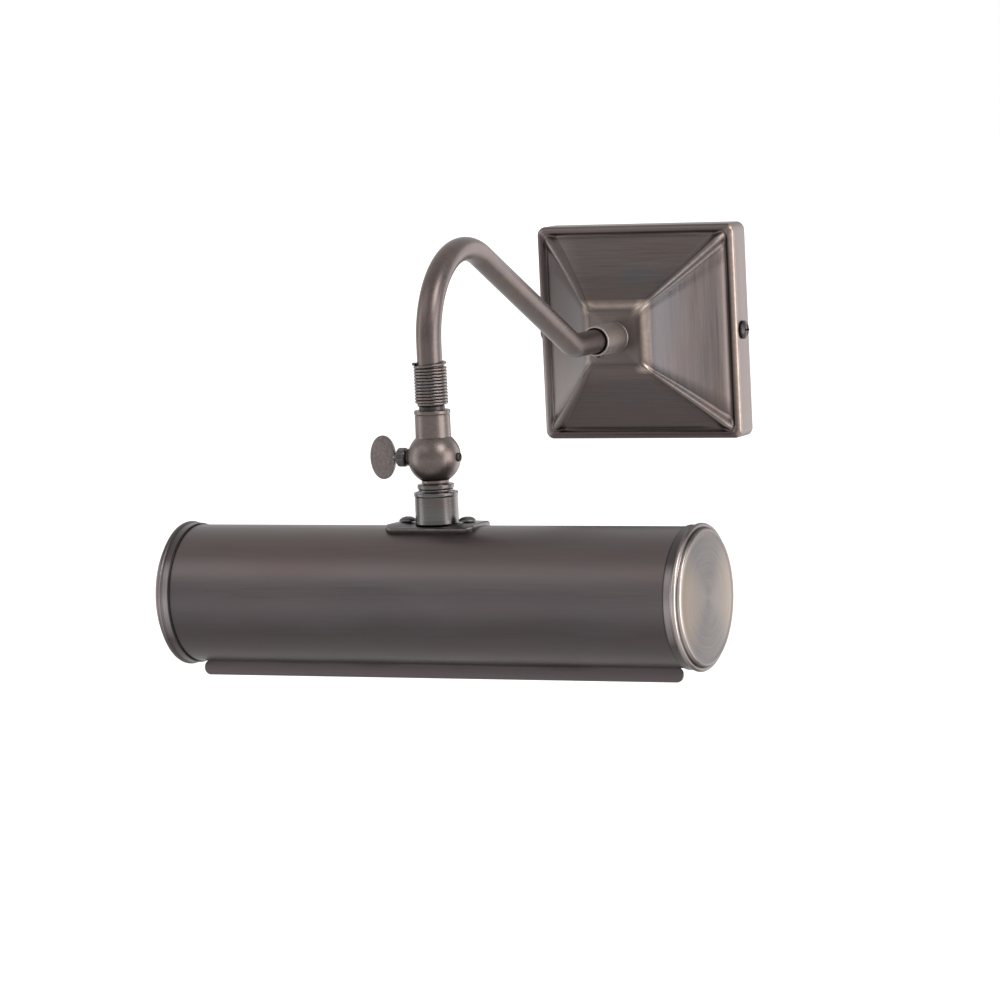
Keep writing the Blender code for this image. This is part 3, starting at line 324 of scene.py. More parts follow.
def plate_shade(place, colour):
    """Tan towards the rim and lighter on the apex, with a bluish painted sheen beside the apex,
    painted shade on the top and bottom panels and painted highlights along the ribs.

    The left panel has painted shade towards its top and painted light towards its foot.
    """
    parts, reach, lean = square(place)
    colour = mix(remap(reach, 26.0, 46.0, 0.0, 0.6), colour, RIM_TAN)
    beside = remap(lean, 0.0, 3.0)
    near = times(remap(reach, 17.5, 36.0, 0.8, 0.0), remap(reach, 14.5, 17.5))
    # painted sheen on the panels beside the apex
    colour = mix(times(beside, near), colour, PANEL_PAINTED_SHEEN)
    # painted shade towards the left panel's top and painted light towards its foot
    left = times(beside, remap(parts[0], 5.0, -5.0))
    fall = remap(parts[2], -8.0, 28.0, 0.0, 0.8)
    colour = mix(times(left, fall), colour, PAINTED_SHADE_TONE)
    lift = remap(parts[2], 0.0, -24.0, 0.0, 0.8)
    colour = mix(times(left, lift), colour, LEFT_FOOT_PAINTED_LIGHT)
    colour = mix(remap(reach, 14.0, 11.0, 0.0, 0.8), colour, APEX_TONE)
    # painted shade on the top and bottom panels, near the apex and low down
    dark = most(remap(reach, 30.0, 20.0, 0.0, 0.3),
                remap(parts[2], -14.0, -22.0, 0.0, 0.75))
    colour = mix(times(remap(lean, 0.0, -3.0), dark), colour, PAINTED_SHADE_TONE)
    # painted highlight along the ribs
    rib_highlight = remap(maths("ABSOLUTE", lean), 1.6, 0.0, 0.0, 0.7)
    return mix(times(rib_highlight, remap(reach, 18.0, 24.0)), colour, RIB_PAINTED_HIGHLIGHT)


def apex_rub_and_highlight(place):
    """Bare gold round the apex and on the right rim: worn metal and a painted highlight.

    It is most at the apex's right edge and top right corner, on the side where the light falls.
    """
    parts, reach = square(place)[:2]
    ring = times(remap(reach, 17.6, 15.4), remap(reach, 12.4, 14.6))
    right = remap(parts[0], 9.0, 14.0, 0.06, 0.8)
    top = remap(parts[2], 9.0, 14.0, 0.0, 0.3)
    ring = times(ring, most(right, top))
    corner = times(remap(parts[0], 8.5, 13.0), remap(parts[2], 8.5, 13.0))
    corner = times(corner, remap(reach, 17.6, 15.0))
    rim = times(remap(parts[0], PLATE_HALF - 2.6, PLATE_HALF - 1.6),
                remap(parts[1], -11.6, -12.8, 0.0, 0.5))
    return most(rim, most(ring, corner))


TUBE_PATINA_AND_SHADE_BANDS = (  # colours of the tube from its lowest line to its highest: patina hues, with painted light and shade in how light or dark each band is
    (0.0, (0.112, 0.094, 0.100)),
    (0.06, (0.070, 0.058, 0.060)),
    (0.25, (0.060, 0.052, 0.053)),
    (0.45, (0.090, 0.080, 0.087)),
    (0.65, (0.115, 0.100, 0.104)),
    (0.8, (0.106, 0.084, 0.081)),
    (1.0, (0.110, 0.092, 0.092)),
)
BAND_SHARE = 0.72  # how far those colours cover the bronze
BAND_WANDER = 22.0  # how far their edges wander up and down


def tube_shade(place, colour):
    """Bands along the tube: brown patina above, slate in the middle, painted shade dark below.

    The lighter and darker bands are painted light and shade over the patina's hues.
    """
    drift = noise(stretched(place, (0.012, 0.03, 0.03)), 1.0, 2.0)
    wander = times(maths("SUBTRACT", drift, 0.5), BAND_WANDER)
    height = maths("ADD", split(place)[2], wander)
    # patina hues, with painted light and shade by height
    bands = ramp(remap(height, -SHADE_RADIUS, SHADE_RADIUS), TUBE_PATINA_AND_SHADE_BANDS)
    return mix(BAND_SHARE, colour, bands)


CAP_TAN = (0.104, 0.075, 0.054)
# the skirt's dark colour, and its painted highlight at the front
SKIRT_DARK, SKIRT_PAINTED_HIGHLIGHT = (0.074, 0.063, 0.064), (0.265, 0.236, 0.242)
# painted shadow where the skirt meets the tube
SKIRT_PAINTED_SHADOW = (0.035, 0.030, 0.030)
# the bead's dark colour, and its painted highlight at the front
BEAD_DARK, BEAD_PAINTED_HIGHLIGHT = (0.085, 0.073, 0.071), (0.270, 0.240, 0.236)
BROW_DARK = (0.100, 0.082, 0.078)


def cap_shade(brow_highlight):
    """Tan sectors on the disc, and a dark skirt, bead and brow with painted highlights at the
    front and painted shadow at the skirt's foot.

    The argument is the painted highlight colour at the front of the brow, which is the rounded
    edge of the disc.
    """
    def shade(place, colour):
        radius, height, way = polar(place)
        front = times(split(way)[1], -1.0)
        sectors = remap(maths("ABSOLUTE", front), 0.55, 0.95)
        colour = mix(times(sectors, remap(radius, 3.0, 22.0)), colour, CAP_TAN)

        def outward(start, end, back, face):
            """Change from back to face between two distances behind the cap's face."""
            share = remap(height, SHADE_EDGE - start, SHADE_EDGE - end)
            return mix(share, back, face)

        # painted highlights on the front of the skirt and bead
        front_highlight = remap(front, 0.82, 1.0)
        skirt = outward(7.6, 7.0, SKIRT_PAINTED_SHADOW, mix(front_highlight, SKIRT_DARK, SKIRT_PAINTED_HIGHLIGHT))
        bead = mix(front_highlight, BEAD_DARK, BEAD_PAINTED_HIGHLIGHT)
        # painted highlight at the front of the brow
        brow = mix(remap(front, 0.45, 0.97), BROW_DARK, brow_highlight)
        edge = outward(5.0, 4.2, skirt, outward(3.6, 2.6, bead, brow))
        return mix(remap(radius, 27.6, 28.2), colour, edge)
    return shade


BRONZES = {
    # the plate's colour holds painted light, shade and highlights as well as its worn metal
    "plate": dict(grain="square", streak=0.14, shade=plate_shade, rubbed_and_lit=apex_rub_and_highlight),
    "arm": dict(grain="z", roughness=0.34, streak=0.14, patina=14.0, bump=0.2,
                tones=((0.118, 0.091, 0.085), (0.104, 0.090, 0.090), (0.134, 0.100, 0.085))),
    "collar": dict(grain="turned", roughness=0.46, streak=0.15, wear=0.1, grime_and_shade=0.4,
                   tones=((0.310, 0.268, 0.254), (0.280, 0.258, 0.252), (0.320, 0.262, 0.232))),
    "coil": dict(grain="blotch", roughness=0.28, streak=0.2,
                 tones=((0.150, 0.125, 0.118), (0.130, 0.118, 0.118), WARM)),
    "tube": dict(grain="x", roughness=0.38, streak=0.06, patina=60.0, bump=0.12, shade=tube_shade),
    "knuckle": dict(grain="turned", roughness=0.28, streak=0.12, patina=9.0, grime_and_shade=0.4),
    "socket": dict(grain="turned", roughness=0.28, streak=0.15, patina=9.0, grime_and_shade=0.5,
                   tones=((0.104, 0.104, 0.099), (0.112, 0.102, 0.107), MAUVE)),
    "ball": dict(grain="blotch", roughness=0.34, streak=0.12, patina=7.0, grime_and_shade=0.25,
                 tones=((0.138, 0.112, 0.105), (0.116, 0.102, 0.098), (0.145, 0.112, 0.100))),
    "saddle": dict(grain="x", roughness=0.34, streak=0.15, patina=8.0, grime_and_shade=0.3, wear=0.25,
                   tones=((0.092, 0.084, 0.085), (0.110, 0.102, 0.105), (0.084, 0.073, 0.073))),
    "paddle": dict(grain="blotch", roughness=0.44, streak=0.3, patina=3.5, bump=0.5,
                   tones=((0.170, 0.142, 0.142), (0.138, 0.122, 0.122), (0.165, 0.130, 0.120))),
}
# the caps differ only in the brow's painted highlight: bright on the right cap, dim on the left
for side, brow_highlight in (("left", (0.120, 0.102, 0.098)), ("right", (0.400, 0.352, 0.330))):
    BRONZES["cap_" + side] = dict(
        grain="turned", roughness=0.30, streak=0.06, bump=0.12, shade=cap_shade(brow_highlight),
        tones=((0.054, 0.042, 0.041), (0.049, 0.042, 0.043), (0.062, 0.047, 0.041)),
        anisotropic=0.5)
METALS = {  # darker and lighter colour, roughness and the size of the speckle
    "worn_fastener": ((0.075, 0.069, 0.069), (0.125, 0.116, 0.117), 0.34, 2.5),
    "fastener": ((0.035, 0.030, 0.029), (0.075, 0.066, 0.063), 0.36, 2.5),
    "zinc": ((0.46, 0.47, 0.49), (0.62, 0.63, 0.64), 0.40, 7.0),
    "brass": ((0.50, 0.35, 0.13), (0.66, 0.49, 0.21), 0.28, 5.0),
    "nickel": ((0.50, 0.48, 0.44), (0.66, 0.64, 0.60), 0.25, 5.0),
    "filament": ((0.25, 0.24, 0.23), (0.40, 0.38, 0.35), 0.35, 1.0),
}
PLASTICS = {  # darker and lighter colour, roughness and, where it is finer, the grain
    "white_plastic": ((0.74, 0.74, 0.70), (0.82, 0.82, 0.79), 0.40),
    "white_paint": ((0.78, 0.77, 0.73), (0.84, 0.83, 0.80), 0.42, 0.9),
    "brown_lead": ((0.15, 0.065, 0.03), (0.22, 0.10, 0.05), 0.38),
    "blue_lead": ((0.03, 0.11, 0.38), (0.05, 0.16, 0.46), 0.38),
    "green_lead": ((0.07, 0.30, 0.08), (0.12, 0.40, 0.12), 0.38),
    "sheath": ((0.66, 0.65, 0.60), (0.76, 0.75, 0.71), 0.45),
}
PAINT = {"glass": clear_glass("glass_look", (0.97, 0.98, 0.98))}
PAINT.update({key: bronze(key + "_look", **given) for key, given in BRONZES.items()})
PAINT.update({key: plain_metal(key + "_look", *given) for key, given in METALS.items()})
PAINT.update({key: plastic(key + "_look", *given) for key, given in PLASTICS.items()})


# ---- modelling tools ----

TURN = {  # turns local Z to the direction named
    "+Z": Matrix.Identity(3),
    "+X": Matrix.Rotation(pi / 2, 3, "Y"),
    "-X": Matrix.Rotation(-pi / 2, 3, "Y"),
    "-Y": Matrix.Rotation(pi / 2, 3, "X"),
}
WEAR_START, WEAR_FULL = 0.45, 1.6  # bend of an edge, per millimetre, where bronze wears
GROOVE_DARK_START, GROOVE_DARK_FULL = 0.30, 1.2  # and of a groove, where dirt gathers and painted shade darkens it


def add_wear(mesh):
    """Mark tightly rounded outward edges above 0 and grooves below 0."""
    bm = bmesh.new()
    bm.from_mesh(mesh)
    bm.normal_update()
    marks = []
    for v in bm.verts:
        bends = [0.0]
        for edge in v.link_edges:
            way = v.co - edge.other_vert(v).co
            squared = way.length_squared
            if squared > 1e-14:
                bends.append(2 * v.normal.dot(way) / squared * MM)
        out, hollow = max(bends), -min(bends)
        worn = min(1.0, max(0.0, (out - WEAR_START) / (WEAR_FULL - WEAR_START)))
        filled = min(1.0, max(0.0, (hollow - GROOVE_DARK_START) / (GROOVE_DARK_FULL - GROOVE_DARK_START)))
        marks.append(worn if out > hollow else -filled)
    bm.free()
    layer = mesh.attributes.new("wear", "FLOAT", "POINT")
    layer.data.foreach_set("value", marks)


def link(name, data):
    """A new object in the scene."""
    thing = bpy.data.objects.new(name, data)
    bpy.context.scene.collection.objects.link(thing)
    return thing


def solid(name, bm, place=(0, 0, 0), along="+Z", sharp=35.0):
    """An object from a bmesh in millimetres, placed in the frame and turned.

    Edges that bend by more than sharp degrees are shaded sharp once the piece is finished.
    """
    bmesh.ops.scale(bm, vec=(MM, MM, MM), verts=bm.verts)
    bmesh.ops.recalc_face_normals(bm, faces=bm.faces)
    mesh = bpy.data.meshes.new(name)
    bm.to_mesh(mesh)
    bm.free()
    piece = link(name, mesh)
    turn = TURN[along] if isinstance(along, str) else along
    piece.matrix_world = Matrix.Translation(Vector(place) * MM) @ turn.to_4x4()
    piece["sharp"] = sharp
    return piece


def finished(piece, paint, node_name):
    """Shade and paint a piece, and hang it on its CAD node's body in the node's place."""
    mesh = piece.data
    add_wear(mesh)
    mesh.shade_smooth()
    mesh.set_sharp_from_angle(angle=radians(piece["sharp"]))
    del piece["sharp"]
    if not mesh.materials:
        mesh.materials.append(PAINT[paint])
    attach(piece, BODY[node_name])
    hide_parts(node_name)


def paint_part(piece, paint, other, is_other):
    """Two paints on one piece; is_other picks the second one's faces."""
    mesh = piece.data
    mesh.materials.clear()
    for name in (paint, other):
        mesh.materials.append(PAINT[name])
    for face in mesh.polygons:
        face.material_index = int(is_other(face))


def boolean(piece, *others, operation="DIFFERENCE"):
    """Cut or join helpers into a piece's own mesh, and remove the helpers."""
    for other in others:
        step = piece.modifiers.new("step", "BOOLEAN")
        step.operation = operation
        step.solver = "EXACT"
        step.object = other
    bpy.context.view_layer.update()
    shaped = piece.evaluated_get(bpy.context.evaluated_depsgraph_get())
    mesh = bpy.data.meshes.new_from_object(shaped)
    piece.modifiers.clear()
    old = piece.data
    piece.data = mesh
    bpy.data.meshes.remove(old)
    mesh.name = piece.name
    for other in others:
        bpy.data.objects.remove(other)
    return piece


def bowed(start, pull, end, t):
    """Place at share t of a curve from start to end that bows towards pull."""
    return start * (1 - t) ** 2 + pull * 2 * t * (1 - t) + end * t ** 2


def soften(points, steps=4, closed=False):
    """Round each corner of a profile; a point's third number is how far from it the curve starts."""
    made = []
    count = len(points)
    for k, point in enumerate(points):
        here = Vector(point[:2])
        reach = point[2] if len(point) > 2 else 0.0
        if not reach or (not closed and k in (0, count - 1)):
            made.append(tuple(here))
            continue
        to_last = Vector(points[k - 1][:2]) - here
        to_next = Vector(points[(k + 1) % count][:2]) - here
        start, end = (here + way.normalized() * min(reach, way.length * 0.49)
                      for way in (to_last, to_next))
        made += [tuple(bowed(start, here, end, j / steps)) for j in range(steps + 1)]
    return made


def arc(centre, wide, tall, start, end, steps):
    """Points of an arc with two radii; angles are in degrees from the first axis to the second."""
    angles = [radians(start + (end - start) * k / steps) for k in range(steps + 1)]
    return [(centre[0] + wide * cos(a), centre[1] + tall * sin(a)) for a in angles]


def lathe(name, profile, steps=72, closed=False, soft=4, ripple=None, **where):
    """Spin a softened (radius, height) profile about local Z; ripple changes the radius with angle."""
    points = soften(profile, soft, closed)
    bm = bmesh.new()
    rings = []
    for radius, height in points:
        if radius < 1e-6:
            rings.append([bm.verts.new((0, 0, height))])
            continue
        ring = []
        for k in range(steps):
            angle = 2 * pi * k / steps
            r = radius + (ripple(angle, height, radius) if ripple else 0.0)
            ring.append(bm.verts.new((r * cos(angle), r * sin(angle), height)))
        rings.append(ring)
    skin(bm, rings + rings[:1] if closed else rings)
    return solid(name, bm, **where)


def bridge(bm, one, two):
    """Join two rings of vertices; either may be a single point."""
    count = max(len(one), len(two))
    for k in range(count):
        m = (k + 1) % count
        if len(one) == 1 and len(two) == 1:
            return
        if len(one) == 1:
            bm.faces.new((one[0], two[m], two[k]))
        elif len(two) == 1:
            bm.faces.new((one[k], one[m], two[0]))
        else:
            bm.faces.new((one[k], one[m], two[m], two[k]))


def skin(bm, rings):
    """Join each ring to the next."""
    for one, two in zip(rings, rings[1:]):
        bridge(bm, one, two)


def tube(name, path, radius, sides=16, bore=None, squeeze=None, **where):
    """Carry a circle, or a ring with a bore, along a path; squeeze gives its two radii's factors."""
    path = [Vector(p) for p in path]
    bm = bmesh.new()
    skins = []
    for size in (radius, bore):
        if size is None:
            continue
        rings = []
        side = Vector((1, 0, 0)) if squeeze else (path[1] - path[0]).orthogonal().normalized()
        for k, point in enumerate(path):
            ahead = (path[min(k + 1, len(path) - 1)] - path[max(k - 1, 0)]).normalized()
            side = (side - ahead * side.dot(ahead)).normalized()
            up = ahead.cross(side)
            wide, tall = squeeze(k) if squeeze else (1.0, 1.0)
            rings.append([bm.verts.new(point + size * (side * cos(a) * wide
                                                       + up * sin(a) * tall))
                          for a in (2 * pi * j / sides for j in range(sides))])
        skins.append(rings)
        skin(bm, rings)
    for end in (0, -1):
        if bore is None:
            bm.faces.new(skins[0][end])
        else:
            bridge(bm, skins[0][end], skins[1][end])
    return solid(name, bm, **where)


def curve_through(points, spacing=1.5):
    """Points along a Catmull-Rom curve through the given ones."""
    points = [Vector(p) for p in points]
    row = [points[0]] + points + [points[-1]]
    route = []
    for a, b, c, d in zip(row, row[1:], row[2:], row[3:]):
        count = max(2, round((c - b).length / spacing))
        for k in range(count):
            t = k / count
            route.append(0.5 * ((2 * b) + (c - a) * t + (2 * a - 5 * b + 4 * c - d) * t ** 2
                                + (3 * b - a - 3 * c + d) * t ** 3))
    route.append(points[-1])
    return route


def prism(name, outline, low, high, edge=0.0, **where):
    """An outline of (x, y) points from low to high along local Z, its rims rounded by edge."""
    bm = bmesh.new()
    centre = sum((Vector(p) for p in outline), Vector((0, 0))) / len(outline)
    levels = [(low, edge), (high, edge)]
    if edge:
        bend = arc((edge, edge), edge, edge, 180, 270, 4)
        levels = [(low + rise, inset) for inset, rise in reversed(bend)]
        levels += [(high - rise, inset) for inset, rise in bend]
    rings = []
    for height, inset in levels:
        ring = []
        for k, p in enumerate(outline):
            here = Vector(p)
            tangent = Vector(outline[(k + 1) % len(outline)]) - Vector(outline[k - 1])
            inward = Vector((-tangent.y, tangent.x)).normalized()
            if inward.dot(centre - here) < 0:
                inward = -inward
            spot = here + inward * inset
            ring.append(bm.verts.new((spot.x, spot.y, height)))
        rings.append(ring)
    skin(bm, rings)
    bm.faces.new(rings[0])
    bm.faces.new(rings[-1])
    return solid(name, bm, **where)


def box_shape(name, low, high, **where):
    corners = [(low[0], low[1]), (high[0], low[1]), (high[0], high[1]), (low[0], high[1])]
    return prism(name, corners, low[2], high[2], **where)


def rounded_rectangle(half_x, half_y, radius, steps=8, centre=(0, 0)):
    points = []
    for k, (sx, sy) in enumerate(((1, 1), (-1, 1), (-1, -1), (1, -1))):
        for j in range(steps + 1):
            angle = pi / 2 * (k + j / steps)
            points.append((centre[0] + sx * (half_x - radius) + radius * cos(angle),
                           centre[1] + sy * (half_y - radius) + radius * sin(angle)))
    return points


# ---- wall plate ----

RIB_SAMPLES = (0.0, 0.1, 0.2, 0.3, 0.4, 0.5, 0.58, 0.66, 0.75, 0.85, 0.95, 1.05, 1.2, 1.35)
SIDE_SAMPLES = (0.2, 0.45, 0.72, 1.0)
RIB_EDGE = 0.66
RIB_END = 1.35
PANEL_OUTER = (43.8, 15.2)  # half-size and depth of the panels' outer edge
PANEL_INNER = (17.2, 38.56)  # and of their inner edge
PANEL_SAG = 1.1
RIB_OUTER, RIB_INNER = 3.5, 1.5  # rib half-width at the rim and at the apex
RIB_HEIGHT, RIB_GROOVE = 2.75, 0.6
CREASE = 0.62  # how steeply the panels fall away from the mitre
NIPPLE_HOLE = 5.2
APEX_DEPTH = 41.0
APEX_FLAT = 12.0  # half-size of the apex where its rounded edges end
APEX_MEET = 14.42  # where the panels' line would reach the apex's depth
APEX_SKIN = 39.7  # depth of the apex's inner face
RIM_BEND = 2.0  # radius of the rim's rounded outer edge
RIM_DEPTH = 14.2
SIDE_CORNER = 4.0
SIDE_DEPTHS = (0.0, 0.6, 6.0, 12.0)
RIM_GROOVE = (  # half-size, depth, corner and share of the ribs
    (47.5, 14.2, 2.9), (47.1, 14.1, 2.6), (46.7, 13.85, 2.2, 0.1), (46.35, 13.55, 1.8, 0.3),
    (46.0, 13.4, 1.4, 0.5), (45.6, 13.42, 1.1, 0.7), (45.1, 13.75, 0.8, 0.9), (44.5, 14.4, 0.5, 1.0),
)
COVER_INSIDE = (  # half-size, depth and corner, from the apex to the wall
    (13.2, APEX_SKIN, 1.2), (15.0, 38.6, 0.4), (29.0, 25.2, 0.4), (43.0, 13.8, 0.4),
    (44.4, 12.0, 0.8), (47.6, 11.9, 2.0), (48.5, 11.2, 2.6), (48.7, 10.4, 2.8), (48.7, 0.0, 2.8),
)


def rib_width(half):
    share = (half - PANEL_INNER[0]) / (PANEL_OUTER[0] - PANEL_INNER[0])
    return RIB_INNER + (RIB_OUTER - RIB_INNER) * min(1.0, max(0.0, share))


def rib_rise(q):
    """Height of the half-round diagonal rib at q half-widths from the mitre.

    The panels' crease is taken away under the rib, and a groove runs along each side.
    """
    if q < RIB_EDGE:
        crease = CREASE * RIB_OUTER * (RIB_EDGE - q)
        return RIB_HEIGHT * cos(pi / 2 * q / RIB_EDGE) - crease
    return -RIB_GROOVE * sin(pi * (q - RIB_EDGE) / (RIB_END - RIB_EDGE))


def plate_ring(bm, half, depth, corner, rib=0.0, round_hole=False):
    """One square ring of the plate, with its ribs raised where rib is not 0."""
    width = rib_width(half)
    near = [q * width * sqrt(2) for q in RIB_SAMPLES]
    rest = [near[-1] + (half - near[-1]) * t for t in SIDE_SAMPLES]
    rises = [rib * rib_rise(q) * width / RIB_OUTER for q in RIB_SAMPLES] + [0.0] * len(rest)
    stations = list(zip(near + rest, rises))
    ring = []
    for quarter in range(4):
        turn = pi / 2 * quarter
        for run, flip in ((stations[::-1], False), (stations[1:-1], True)):
            for s, rise in run:
                if s >= corner:
                    x, z = half, half - s
                else:
                    angle = pi / 4 * (1 - s / corner)
                    x = half - corner + corner * cos(angle)
                    z = half - corner + corner * sin(angle)
                if round_hole:
                    angle = atan2(half - s, half)
                    x, z = half * cos(angle), half * sin(angle)
                if flip:
                    x, z = z, x
                ring.append(bm.verts.new((x * cos(turn) - z * sin(turn), -depth - rise,
                                          x * sin(turn) + z * cos(turn))))
    return ring


def wall_plate():
    """Pressed square cover: side wall, rounded rim, groove, four sagging panels, ribs and apex."""
    front = [(PLATE_HALF, depth, SIDE_CORNER) for depth in SIDE_DEPTHS]
    bend = arc((PLATE_HALF - RIM_BEND, RIM_DEPTH - RIM_BEND), RIM_BEND, RIM_BEND, 0, 90, 6)
    front += [(half, depth, SIDE_CORNER - 0.7 * k / 6) for k, (half, depth) in enumerate(bend)][1:]
    front += RIM_GROOVE
    for k in range(13):
        t = k / 12
        half = PANEL_OUTER[0] + (PANEL_INNER[0] - PANEL_OUTER[0]) * t
        depth = PANEL_OUTER[1] + (PANEL_INNER[1] - PANEL_OUTER[1]) * t - 4 * PANEL_SAG * t * (1 - t)
        front.append((half, depth, 0.3 + 0.3 * t, 1.0))
    for k in range(1, 9):
        t = k / 8
        half = bowed(PANEL_INNER[0], APEX_MEET, APEX_FLAT, t)
        depth = bowed(PANEL_INNER[1], APEX_DEPTH, APEX_DEPTH, t)
        front.append((half, depth, 0.6 + 1.8 * t, 1.0 - t))
    front.append((9.0, APEX_DEPTH, 1.2))
    bm = bmesh.new()
    rings = [plate_ring(bm, *station) for station in front]
    for depth in (APEX_DEPTH, APEX_SKIN):
        rings.append(plate_ring(bm, NIPPLE_HOLE, depth, 0.0, round_hole=True))
    rings += [plate_ring(bm, *station) for station in COVER_INSIDE]
    skin(bm, rings + rings[:1])
    finished(solid("plate_cover", bm, sharp=38), "plate", "wall_plate")


THREAD_PITCH, THREAD_DEPTH = 0.7, 0.28
SLOT_HALF = 0.42  # half the width of a crossed recess


def cross_recess(name, depth, reach, top, **where):
    arms = ((reach, SLOT_HALF), (SLOT_HALF, reach))
    return [box_shape("cut_%s_%d" % (name, k), (-dx, -dy, top - depth), (dx, dy, top + 2), **where)
            for k, (dx, dy) in enumerate(arms)]


def pan_screw(name, head, height, length, recess, paint, node_name, **where):
    """Pan-head screw with a crossed recess; shank along -Z, head above Z = 0."""
    shank = 1.8
    profile = [(0, -length), (shank - 0.3, -length, 0.2), (shank, -length + 0.4, 0.2)]
    for k in range(int((length - 1) / THREAD_PITCH)):
        base = -length + 0.6 + k * THREAD_PITCH
        profile += [(shank, base), (shank - THREAD_DEPTH, base + THREAD_PITCH / 2)]
    profile += [(shank, -0.2), (shank, 0.0), (head - 0.1, 0.0, 0.1), (head, 0.12, 0.1),
                (head, height * 0.4, height * 0.45), (head * 0.55, height, head * 0.3), (0, height)]
    piece = lathe(name, profile, 40, **where)
    boolean(piece, *cross_recess(name, height * 0.62, recess, height, **where))
    finished(piece, paint, node_name)


SIDE_HEAD = 2.2  # heights of the screw heads
EARTH_HEAD = 2.0


def plate_fastenings():
    for side, along, end, sign in (("left", "-X", 0, -1), ("right", "+X", 1, 1)):
        name = "side_screw_" + side
        centre = middle(name)
        seat = low_high(name, 0)[end] - SIDE_HEAD * sign
        pan_screw("side_fixing_" + side, 4.3, SIDE_HEAD, 7.5, 2.5, "fastener", name,
                  place=(seat, centre.y, centre.z), along=along)
    centre = middle("earth_screw")
    seat = low_high("earth_screw", 1)[0] + EARTH_HEAD
    pan_screw("earth_fixing", 3.2, EARTH_HEAD, 2.0, 1.9, "brass", "earth_screw",
              place=(centre.x, seat, centre.z), along="-Y")


# ---- collar and arm ----

COLLAR_RADIUS = 6.9
COLLAR_FOOT = COLLAR_RADIUS + 0.25
COLLAR_BORE = 6.05
COLLAR_FLOOR = 45.0  # how far from the wall the collar's wide bore ends
NIPPLE_END = 31.5
NIPPLE_RADIUS, NIPPLE_BORE = 4.9, 3.4


def collar():
    """Turned boss on the apex, with its nipple through the cover and a grub screw below."""
    base = -low_high("wall_plate", 1)[0] + 0.05
    mouth = -MOUTH.y
    profile = [(NIPPLE_BORE, NIPPLE_END), (NIPPLE_RADIUS, NIPPLE_END), (NIPPLE_RADIUS, base),
               (COLLAR_FOOT, base, 0.1), (COLLAR_FOOT, base + 0.7, 0.3),
               (COLLAR_RADIUS, base + 1.0, 0.3), (COLLAR_RADIUS, mouth, 0.7),
               (COLLAR_BORE, mouth, 0.25), (COLLAR_BORE, COLLAR_FLOOR), (NIPPLE_BORE, COLLAR_FLOOR)]
    boss = lathe("arm_boss", profile, 80, closed=True, along="-Y")
    place = (0, middle("collar_grub_screw").y, 0)
    boolean(boss, lathe("cut_grub", [(0, -9), (2.0, -9), (2.0, -3), (0, -3)], 24, place=place))
    finished(boss, "collar", "plate_collar")
    grub = [(0, -7.0), (0.85, -7.0, 0.05), (0.85, -7.9, 0.05), (1.5, -7.9, 0.2),
            (1.75, -7.6, 0.1), (1.75, -5.9, 0.1), (1.0, -5.75, 0.1), (0, -5.75)]
    finished(lathe("boss_grub_screw", grub, 24, place=place), "fastener", "collar_grub_screw")


ARM_RADIUS, ARM_BORE = 5.45, 4.45
ARM_SLOPE = 27.0  # degrees that the long straight rises from the level
HOOK_RADIUS = 38.0
HOOK_STEPS = 54
HOOK_FLATTENING = 0.045
LOWER_BEND = 18.0
KNEE = 87.0  # where the level start and the slope would meet
ARM_START = 46.0
ARM_FOOT = -12.2


def along_straight(start, end, shares):
    return [start.lerp(end, share) for share in shares]


def arm_path():
    """Collar, short bend, long slope up, hook, and straight down; and where the hook starts."""
    slope = radians(ARM_SLOPE)
    reach = -ARM_END.y
    centre = (-KNEE + LOWER_BEND * tan(slope / 2), LOWER_BEND)
    bend = arc(centre, LOWER_BEND, LOWER_BEND, -90, -90 - ARM_SLOPE, 14)
    crossing = (reach - KNEE) * tan(slope)
    centre = (HOOK_RADIUS - reach, crossing - HOOK_RADIUS * tan((pi / 2 + slope) / 2))
    hook = arc(centre, HOOK_RADIUS, HOOK_RADIUS, 90 - ARM_SLOPE, 180, HOOK_STEPS)
    bend, hook = ([Vector((0, y, z)) for y, z in points] for points in (bend, hook))
    level = along_straight(Vector((0, -ARM_START, 0)), bend[0], (0.0, 0.35, 0.7, 0.95))
    straight = along_straight(bend[-1], hook[0], (0.02, 0.25, 0.5, 0.75, 0.98))
    fall = along_straight(hook[-1], Vector((0, -reach, ARM_FOOT)), (0.03, 0.3, 0.6, 1.0))
    before = level + bend + straight
    return before + hook + fall, len(before)


def arm():
    path, hook_start = arm_path()

    def squeeze(k):
        """The bender flattens the tube a little across the hook."""
        share = (k - hook_start) / HOOK_STEPS
        flat = HOOK_FLATTENING * sin(pi * share) ** 0.6 if 0 < share < 1 else 0.0
        return 1.0 + flat * 0.5, 1.0 - flat

    piece = tube("swan_neck", path, ARM_RADIUS, 48, bore=ARM_BORE, squeeze=squeeze, sharp=50)
    finished(piece, "arm", "arm_tube")


COIL_TURNS = 12.9
COIL_STEPS = 40  # steps in a turn
COIL_RADIUS = 6.5
COIL_WIRE = 0.70
COIL_LOW, COIL_HIGH = -12.0, 5.5
COIL_FINISH = radians(200)  # direction in which the wire ends
TIP_RISE, TIP_LOW = 1.7, pi  # the last turn's rise, and the direction in which it stays low
FIRST_RISE = 0.2  # the first turn is closed up by this
TAIL = (0.6, 1.2, 1.9)  # lengths along the tail
TAIL_BEND = Vector((-0.10, 0, 0))  # it bends off to the left


